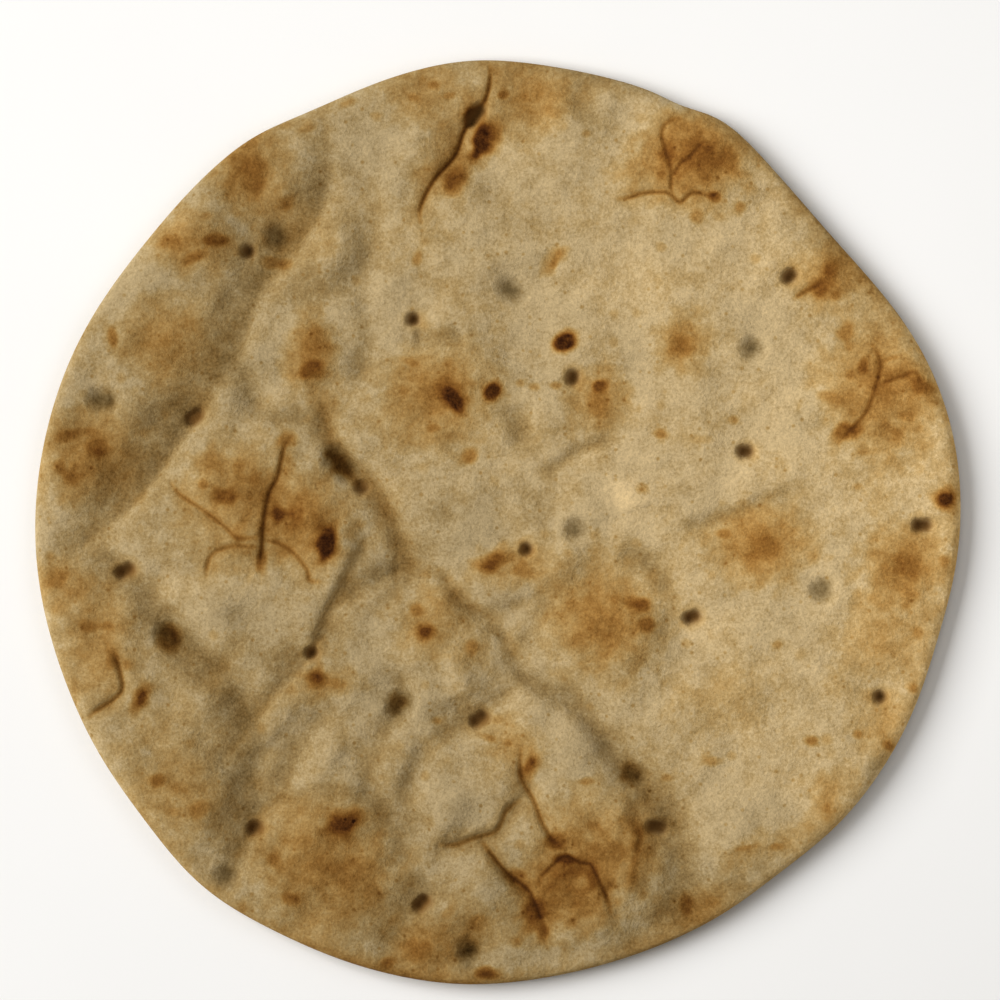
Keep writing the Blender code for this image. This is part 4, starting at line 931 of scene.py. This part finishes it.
def own_place(tree):
    """A point's own place, as three numbers."""
    where = tree.nodes.new("GeometryNodeInputPosition").outputs[0]
    return add(tree, "ShaderNodeSeparateXYZ", {0: where}).outputs


def near_lines(tree, lines):
    """The lines' shape, a point's own place dropped to the ground, and the nearest place on a line."""
    shape = add(tree, "GeometryNodeObjectInfo", {"Object": lines}).outputs["Geometry"]
    x, y, _ = own_place(tree)
    place = add(tree, "ShaderNodeCombineXYZ", {0: x, 1: y}).outputs[0]
    near = add(tree, "GeometryNodeProximity", {"Geometry": shape, "Sample Position": place},
               target_element="EDGES").outputs
    return shape, place, near


def lowered(tree, skin, cut, least):
    """Lowers the skin by a cut, not past the least height, and leaves what is lower as it is."""
    x, y, z = own_place(tree)
    floor = maths(tree, "MINIMUM", z, least)
    deep = maths(tree, "MAXIMUM", maths(tree, "SUBTRACT", z, cut), floor)
    where = add(tree, "ShaderNodeCombineXYZ", {0: x, 1: y, 2: deep}).outputs[0]
    return add(tree, "GeometryNodeSetPosition", {"Geometry": skin, "Position": where}).outputs[0]


def finished(tree, skin, name, value, material):
    """Ends a tree: each point keeps a value under a name, in plain mesh with its material."""
    skin = add(tree, "GeometryNodeStoreNamedAttribute",
               {"Geometry": skin, "Name": name, "Value": value}).outputs[0]
    skin = add(tree, "GeometryNodeRealizeInstances", {"Geometry": skin}).outputs[0]
    skin = add(tree, "GeometryNodeSetMaterial", {"Geometry": skin, "Material": material}).outputs[0]
    tree.links.new(skin, tree.nodes.new("NodeGroupOutput").inputs[0])
    return tree


def pricking():
    """Presses a hole along each stroke, and keeps each point's distance to the nearest stroke."""
    tree, given = new_tree("pricking", {
        "Strokes": "Object", "Floor radius": "Float", "Lip radius": "Float", "Depth": "Float",
        "Least height": "Float", "Distance name": "String", "Material": "Material",
    })
    _, _, near = near_lines(tree, given["Strokes"])
    noise = add(tree, "ShaderNodeTexNoise", {"Scale": UNEVEN_LIP_SCALE, "Detail": 1.0})
    uneven = maths(tree, "MULTIPLY_ADD", noise.outputs[0], UNEVEN_LIP, 1 - UNEVEN_LIP / 2)
    distance = maths(tree, "MULTIPLY", near["Distance"], uneven)
    crust = stored(tree, "crust")
    inside = between(tree, distance, given["Floor radius"], given["Lip radius"], 1.0, 0.0)
    cut = maths(tree, "MULTIPLY", maths(tree, "MULTIPLY", inside, crust), given["Depth"])
    pressed = lowered(tree, given["Skin"], cut, given["Least height"])
    away = maths(tree, "ADD", distance, maths(tree, "SUBTRACT", 1.0, maths(tree, "CEIL", crust)))
    return finished(tree, pressed, given["Distance name"], away, given["Material"])


def line_work(name, strokes):
    """A mesh of bare edges, one run for each stroke."""
    points, edges = [], []
    for stroke in strokes:
        edges += [(len(points) + i, len(points) + i + 1) for i in range(len(stroke) - 1)]
        points += [(x, y, 0.0) for x, y in stroke]
    mesh = bpy.data.meshes.new(name)
    flat = placed(np.array(points))
    flat[:, 2] = 0.0
    mesh.from_pydata(flat.tolist(), edges, [])
    made = bpy.data.objects.new(name, mesh)
    bpy.context.collection.objects.link(made)
    return made


def strokes_at(holes, shifts, drags):
    """The holes' strokes: two points each, nearly the same place twice where nothing was dragged."""
    strokes = []
    for (x, y), key in zip(holes, shifts):
        dx, dy = drags.get(key, (LEAST_DRAG, 0.0))
        strokes.append([(x - dx / 2, y - dy / 2), (x + dx / 2, y + dy / 2)])
    return strokes


# ------------------------------------------------------------------------------------------------
# Folding the skin: a soft groove along each path, browned along its line and faintly beside it. The
# skin slid a little to the right as it sank, so a groove's left side is steep and its right gentle.
# ------------------------------------------------------------------------------------------------
FOLD_SPREAD = 1.1
FOLD_SHALLOWNESS = 0.8
FOLD_GENTLE = 3.0
FOLD_STEEP_SIDE = (-0.97, 0.26, 0.0)
FOLD_BROWNING_WIDTH = 0.85
FOLD_HALO_WIDTH = 3.0
FOLD_HALO_SHARE = 0.22


def folding():
    """Folds the skin down along one path, and keeps how browned the folds made it."""
    tree, given = new_tree("folding", {
        "Path": "Object", "Depth": "Float", "Half width": "Float", "Browning": "Float",
        "Browning width": "Float", "Halo width": "Float", "Halo share": "Float",
        "Least height": "Float", "Material": "Material",
    })
    path, place, near = near_lines(tree, given["Path"])
    distance = near["Distance"]
    nearest = add(tree, "GeometryNodeSampleNearest", {"Geometry": path, "Sample Position": place})
    share = add(tree, "GeometryNodeSampleIndex",
                {"Geometry": path, "Value": stored(tree, "share"), "Index": nearest.outputs[0]})
    share = maths(tree, "MULTIPLY", share.outputs[0], stored(tree, "crust"))
    off = add(tree, "ShaderNodeVectorMath", {0: place, 1: near["Position"]}, operation="SUBTRACT")
    off = add(tree, "ShaderNodeVectorMath", {0: off.outputs[0]}, operation="NORMALIZE").outputs[0]
    side = add(tree, "ShaderNodeVectorMath", {0: off, 1: FOLD_STEEP_SIDE}, operation="DOT_PRODUCT")
    lean = add(tree, "ShaderNodeMapRange",
               {0: side.outputs["Value"], 1: -1.0, 2: 1.0, 3: FOLD_GENTLE, 4: 1.0})
    reach = maths(tree, "MULTIPLY", lean.outputs[0], given["Half width"])
    cut = maths(tree, "MULTIPLY", between(tree, distance, 0.0, reach, given["Depth"], 0.0), share)
    folded = lowered(tree, given["Skin"], cut, given["Least height"])
    line = between(tree, distance, 0.0, given["Browning width"], 1.0, 0.0)
    halo = between(tree, distance, 0.0, given["Halo width"], given["Halo share"], 0.0)
    browned = maths(tree, "MULTIPLY", maths(tree, "MAXIMUM", line, halo), given["Browning"])
    browned = maths(tree, "MULTIPLY", browned, share)
    browned = maths(tree, "MAXIMUM", browned, stored(tree, "fold"))
    return finished(tree, folded, "fold", browned, given["Material"])


def pass_over(skin, tree, given):
    """Puts a tree on the skin, with its inputs by name."""
    step = skin.modifiers.new(tree.name, "NODES")
    step.node_group = tree
    for item in tree.interface.items_tree:
        if item.in_out == "INPUT" and item.name in given:
            step[item.identifier] = given[item.name]


pin_strokes = line_work("pin strokes", strokes_at(PINS, PIN_SHIFTS, PIN_DRAGS))
dimple_strokes = line_work("dimple strokes", strokes_at(DIMPLES, DIMPLE_SHIFTS, DIMPLE_DRAGS))
fold_lines = []
for _, _, _, path in FOLDS:
    points = smooth_path(path, FOLD_PITCH)
    line = line_work("fold line", [points])
    share = depth_share(np.linspace(0.0, 1.0, len(points)), FOLD_END_DEPTH)
    line.data.attributes.new("share", "FLOAT", "POINT").data.foreach_set("value", share)
    fold_lines.append(line)


# ------------------------------------------------------------------------------------------------
# The crust's finish: matt, floury and faintly freckled, under painted light and shade. It is pale cream
# where it stayed soft, then golden, brown and nearly black as it toasted. Dimples are greyish and carry
# painted shade, pinned holes are painted dark as shade, and valleys and fold lines carry painted shade.
# ------------------------------------------------------------------------------------------------
TOAST_COLOURS = (
    (0.0, (0.474, 0.357, 0.186)), (0.1, (0.437, 0.301, 0.1255)), (0.25, (0.4, 0.246, 0.0816)),
    (0.43, (0.345, 0.183, 0.0467)), (0.6, (0.258, 0.118, 0.0237)), (0.75, (0.182, 0.071, 0.0119)),
    (0.88, (0.1, 0.033, 0.0062)), (1.0, (0.03, 0.0085, 0.0022)),
)
# The painted shade inside each pinned hole: a dark brown.
PAINTED_HOLE_SHADE = (0.185, 0.088, 0.022, 1.0)

# Clouds: how fine, how detailed, how rough. Dots: how fine, and the chance above which they show.
MOTTLE = (300.0, 5.0, 0.72)
WRINKLE = (130.0, 3.0, 0.6)
GRAIN = (1900.0, 3.0, 0.75)
DRIFT = (70.0, 2.0, 0.5)
FRECKLES = (640.0, 0.6)
FLECKS = (230.0, 0.7)
DOT_EDGE = (0.08, 0.34)

# How much each of them browns the crust. The unevenness is the mottle's where it is half toasted.
TOAST_UNEVENNESS = 5.0
PALE_POWER = 3.0
MOTTLE_TOAST = 0.26
GRAIN_TOAST = 0.24
FRECKLE_TOAST = 0.2
FLECK_TOAST = 0.16
# The painted shade in the valleys is browner as well as darker.
HOLLOW_SHADE_BROWNING = 0.035
PIN_TOAST = 0.1
DIMPLE_TOAST = 0.1

# How much each of them lightens or darkens it. The hollows', the folds' and the holes' shares are painted
# shade, and the dimples' partly so.
GRAIN_SHADE = 0.95
MOTTLE_SHADE = 0.55
DRIFT_SHADE = 0.4
FRECKLE_SHADE = 0.12
HOLLOW_SHADE = 0.17
FOLD_SHADE = 0.3
FOLD_SHADE_RISE = (0.25, 0.75)
DIMPLE_SHADE = 0.66
DIMPLE_MOTTLE = (0.35, 0.65, 1.0, 0.7)
HOLE_SHADE = 0.95

# How far from a hole's middle its browned ring, the dimple's grey and painted shade, and the pin's
# painted dark shade reach, from full to none.
PIN_RING = (1.0 * MM, 3.4 * MM)
DIMPLE_REACH = (0.2 * MM, 3.2 * MM)
HOLE_REACH = (0.2 * MM, 2.0 * MM)

# The surface: matt, the paler the duller, from one toast to another. The bump's shares are those of
# the mottle, the grain and the wrinkles.
ROUGHNESS = (0.1, 0.8, 0.92, 0.78)
DUSTINESS = 0.6
SHINE = 0.02
BUMP_HEIGHT = 0.42 * MM
BUMP_SHARES = (0.9, 0.45, 2.0)


def noise(tree, place, scale, detail, roughness):
    """A cloud of a given fineness, about 0.5."""
    sizes = {"Vector": place, "Scale": scale, "Detail": detail, "Roughness": roughness}
    return add(tree, "ShaderNodeTexNoise", sizes).outputs[0]


def mixed(tree, share, first, last):
    """A colour between two, by a share."""
    return add(tree, "ShaderNodeMix", {0: share, 6: first, 7: last}, data_type="RGBA").outputs[2]


def dots(tree, place, scale, least_chance):
    """Small round dots, in chance places, for the share of cells above a chance."""
    cells = add(tree, "ShaderNodeTexVoronoi", {"Vector": place, "Scale": scale}).outputs
    chance = add(tree, "ShaderNodeSeparateColor", {0: cells["Color"]}).outputs[0]
    chosen = between(tree, chance, least_chance, 1.0, 0.0, 1.0)
    return maths(tree, "MULTIPLY", between(tree, cells["Distance"], *DOT_EDGE, 1.0, 0.0), chosen)


def crust_material():
    """Baked flat bread."""
    material = bpy.data.materials.new("toasted crust")
    material.use_nodes = True
    tree = material.node_tree
    shader = tree.nodes["Principled BSDF"]
    place = tree.nodes.new("ShaderNodeTexCoord").outputs["Object"]
    kept = {
        name: add(tree, "ShaderNodeAttribute", attribute_name=name).outputs["Fac"]
        for name in ("toast", "flour", "hollow", "pin", "dimple", "fold")
    }
    mottle, wrinkle, grain, drift = (
        noise(tree, place, *sizes) for sizes in (MOTTLE, WRINKLE, GRAIN, DRIFT)
    )
    freckles, flecks = (dots(tree, place, *sizes) for sizes in (FRECKLES, FLECKS))

    # How toasted: what the oven did, a little mottled, the browner hue of the painted shade in the
    # valleys, the folds' lines, and a ring round each pin.
    # The mottling is strongest where the crust is half toasted.
    centred = maths(tree, "SUBTRACT", 0.5, mottle)
    pale = maths(tree, "POWER", maths(tree, "SUBTRACT", 1.0, kept["toast"]), PALE_POWER)
    half_way = maths(tree, "MULTIPLY", pale, kept["toast"])
    uneven = maths(tree, "MULTIPLY", centred, TOAST_UNEVENNESS)
    toast = maths(tree, "MULTIPLY_ADD", half_way, uneven, kept["toast"])
    for cloud, share in (
        (centred, MOTTLE_TOAST), (maths(tree, "SUBTRACT", 0.5, grain), GRAIN_TOAST),
        (freckles, FRECKLE_TOAST), (flecks, FLECK_TOAST), (kept["hollow"], HOLLOW_SHADE_BROWNING),
    ):
        toast = maths(tree, "MULTIPLY_ADD", cloud, share, toast)
    ring = between(tree, kept["pin"], *PIN_RING, PIN_TOAST, 0.0)
    sunk = between(tree, kept["dimple"], *DIMPLE_REACH, DIMPLE_TOAST, 0.0)
    for browned in (kept["fold"], ring, sunk):
        left = maths(tree, "MULTIPLY", maths(tree, "SUBTRACT", 1.0, toast), browned)
        toast = maths(tree, "ADD", toast, left)
    ramp = add(tree, "ShaderNodeValToRGB", {0: toast})
    stops = ramp.color_ramp.elements
    stops[0].position, stops[1].position = TOAST_COLOURS[0][0], TOAST_COLOURS[-1][0]
    for position, _ in TOAST_COLOURS[1:-1]:
        stops.new(position)
    for stop, (_, colour) in zip(stops, TOAST_COLOURS):
        stop.color = (*colour, 1.0)

    # Light and shade of the same colour: painted light and shade over the round, painted shade in the
    # valleys, freckles, random mottling and a fine grain.
    dark = maths(tree, "MULTIPLY", freckles, FRECKLE_SHADE)
    # Painted shade in the valleys, by how deep a point lies in them.
    dark = maths(tree, "MULTIPLY_ADD", kept["hollow"], HOLLOW_SHADE, dark)
    shade = maths(tree, "SUBTRACT", 1 - (GRAIN_SHADE + MOTTLE_SHADE + DRIFT_SHADE) / 2, dark)
    for cloud, share in ((grain, GRAIN_SHADE), (mottle, MOTTLE_SHADE), (drift, DRIFT_SHADE)):
        shade = maths(tree, "MULTIPLY_ADD", cloud, share, shade)
    # The dimples: greyer where the dough is thin, and darkened with painted shade in their hollow,
    # unevenly by the mottle.
    dimple_darkening = between(tree, kept["dimple"], *DIMPLE_REACH, DIMPLE_SHADE, 0.0)
    dimple_darkening = maths(tree, "MULTIPLY", dimple_darkening, between(tree, mottle, *DIMPLE_MOTTLE))
    # Painted shade along the folds' lines: their cores are darkened.
    line = between(tree, kept["fold"], *FOLD_SHADE_RISE, 1.0, 1.0 - FOLD_SHADE)
    # Multiplied in: the painted light and shade over the round, the dimples' darkening, and the folds'
    # painted shade.
    for factor in (kept["flour"], maths(tree, "SUBTRACT", 1.0, dimple_darkening), line):
        shade = maths(tree, "MULTIPLY", shade, factor)
    tone_and_painted_light = add(tree, "ShaderNodeVectorMath", {0: ramp.outputs[0], "Scale": shade}, operation="SCALE")
    # Painted shade in the pinned holes: their insides are painted dark brown.
    hollow = between(tree, kept["pin"], *HOLE_REACH, HOLE_SHADE, 0.0)
    tree.links.new(mixed(tree, hollow, tone_and_painted_light.outputs[0], PAINTED_HOLE_SHADE), shader.inputs["Base Color"])

    height = 0.0
    for cloud, share in zip((mottle, grain, wrinkle), BUMP_SHARES):
        height = maths(tree, "MULTIPLY_ADD", cloud, share, height)
    bump = add(tree, "ShaderNodeBump", {"Strength": 1.0, "Distance": BUMP_HEIGHT, "Height": height})
    tree.links.new(bump.outputs[0], shader.inputs["Normal"])
    tree.links.new(between(tree, toast, *ROUGHNESS), shader.inputs["Roughness"])
    shader.inputs["Specular IOR Level"].default_value = SHINE
    shader.inputs["Diffuse Roughness"].default_value = DUSTINESS
    return material


always = {"Least height": LEAST_HEIGHT * MM, "Material": crust_material()}
pricked = pricking()
for strokes, name, floor_radius, radius, depth in (
    (pin_strokes, "pin", PIN_FLOOR_RADIUS, PIN_RADIUS, PIN_DEPTH),
    (dimple_strokes, "dimple", DIMPLE_FLOOR_RADIUS, DIMPLE_RADIUS, DIMPLE_DEPTH),
):
    pass_over(skin, pricked, {
        **always, "Strokes": strokes, "Floor radius": floor_radius * MM, "Lip radius": radius * MM,
        "Depth": depth * MM, "Distance name": name,
    })
folded = folding()
for line, (depth, half_width, browning, _) in zip(fold_lines, FOLDS):
    pass_over(skin, folded, {
        **always, "Path": line, "Depth": FOLD_SHALLOWNESS * depth * MM,
        "Half width": FOLD_SPREAD * half_width * MM, "Browning": browning,
        "Browning width": FOLD_BROWNING_WIDTH * MM, "Halo width": FOLD_HALO_WIDTH * MM,
        "Halo share": FOLD_HALO_SHARE,
    })
depsgraph = bpy.context.evaluated_depsgraph_get()
baked = bpy.data.meshes.new_from_object(skin.evaluated_get(depsgraph), preserve_all_data_layers=True,
                                        depsgraph=depsgraph)
skin.modifiers.clear()
skin.data = baked
baked.shade_smooth()
for helper in (pin_strokes, dimple_strokes, *fold_lines):
    bpy.data.objects.remove(helper, do_unlink=True)
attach(skin, "root")
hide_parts("pita")

# ------------------------------------------------------------------------------------------------
# The place where it is seen: a plain pale table, one broad soft light from the left, a nearer one
# above the upper right, a pale surrounding, and a camera straight above the bread. The view's sizes
# are millimetres, and the table's and the lights' are metres.
# ------------------------------------------------------------------------------------------------
VIEW_SIDE = 185.0
VIEW_CENTRE = (0.56, 4.07)
CAMERA_DISTANCE = 1200.0
BREAD_PLANE = 4.5
TABLE_SIDE = 4.0
TABLE_COLOURS = ((0.86, 0.85, 0.83, 1.0), (0.88, 0.87, 0.85, 1.0))
TABLE_CLOUDS = (30.0, 2.0, 0.5)
TABLE_ROUGHNESS = 0.9
TABLE_DROP = 0.0002
SURROUNDING_COLOUR = (1.0, 0.98, 0.95, 1.0)
SURROUNDING = 0.2
KEY_PLACE = (-1.08, 0.29, 1.0)
KEY_AIM = (0.0, 0.0, 0.004)
KEY_SIDE = 1.1
KEY_POWER = 29.8
FILL_PLACE = (0.095, 0.05, 0.24)
FILL_AIM = (0.095, 0.05, 0.0)
FILL_SIDE = 0.18
FILL_POWER = 0.13
CLIP_RANGE = (0.05, 10.0)

table_mesh = bpy.data.meshes.new("table")
half = TABLE_SIDE / 2
drop = float(box_low[2]) - TABLE_DROP
table_mesh.from_pydata(
    [(-half, -half, drop), (half, -half, drop), (half, half, drop), (-half, half, drop)],
    [], [(0, 1, 2, 3)],
)
table = bpy.data.objects.new("table", table_mesh)
bpy.context.collection.objects.link(table)
table_finish = bpy.data.materials.new("pale table")
table_finish.use_nodes = True
tree = table_finish.node_tree
shader = tree.nodes["Principled BSDF"]
cloud = noise(tree, tree.nodes.new("ShaderNodeTexCoord").outputs["Object"], *TABLE_CLOUDS)
tree.links.new(mixed(tree, cloud, *TABLE_COLOURS), shader.inputs["Base Color"])
shader.inputs["Roughness"].default_value = TABLE_ROUGHNESS
table_mesh.materials.append(table_finish)

world = bpy.data.worlds.new("studio")
world.use_nodes = True
background = world.node_tree.nodes["Background"]
background.inputs["Color"].default_value = SURROUNDING_COLOUR
background.inputs["Strength"].default_value = SURROUNDING
bpy.context.scene.world = world

for name, where, aim, side, power in (
    ("key", KEY_PLACE, KEY_AIM, KEY_SIDE, KEY_POWER),
    ("fill", FILL_PLACE, FILL_AIM, FILL_SIDE, FILL_POWER),
):
    light = bpy.data.lights.new(name, "AREA")
    light.shape = "SQUARE"
    light.size = side
    light.energy = power
    lamp = bpy.data.objects.new(name, light)
    lamp.location = where
    lamp.rotation_euler = (Vector(aim) - Vector(where)).to_track_quat("-Z", "Y").to_euler()
    bpy.context.collection.objects.link(lamp)

camera_data = bpy.data.cameras.new("camera")
camera_data.sensor_fit = "HORIZONTAL"
camera_data.angle = 2 * math.atan(VIEW_SIDE / 2 / (CAMERA_DISTANCE - BREAD_PLANE))
camera_data.clip_start, camera_data.clip_end = CLIP_RANGE
camera = bpy.data.objects.new("camera", camera_data)
x, y, _ = placed(np.array([(*VIEW_CENTRE, 0.0)]))[0]
camera.location = (x, y, CAMERA_DISTANCE * MM)
bpy.context.collection.objects.link(camera)
bpy.context.scene.camera = camera
bpy.context.scene.view_settings.view_transform = "Standard"
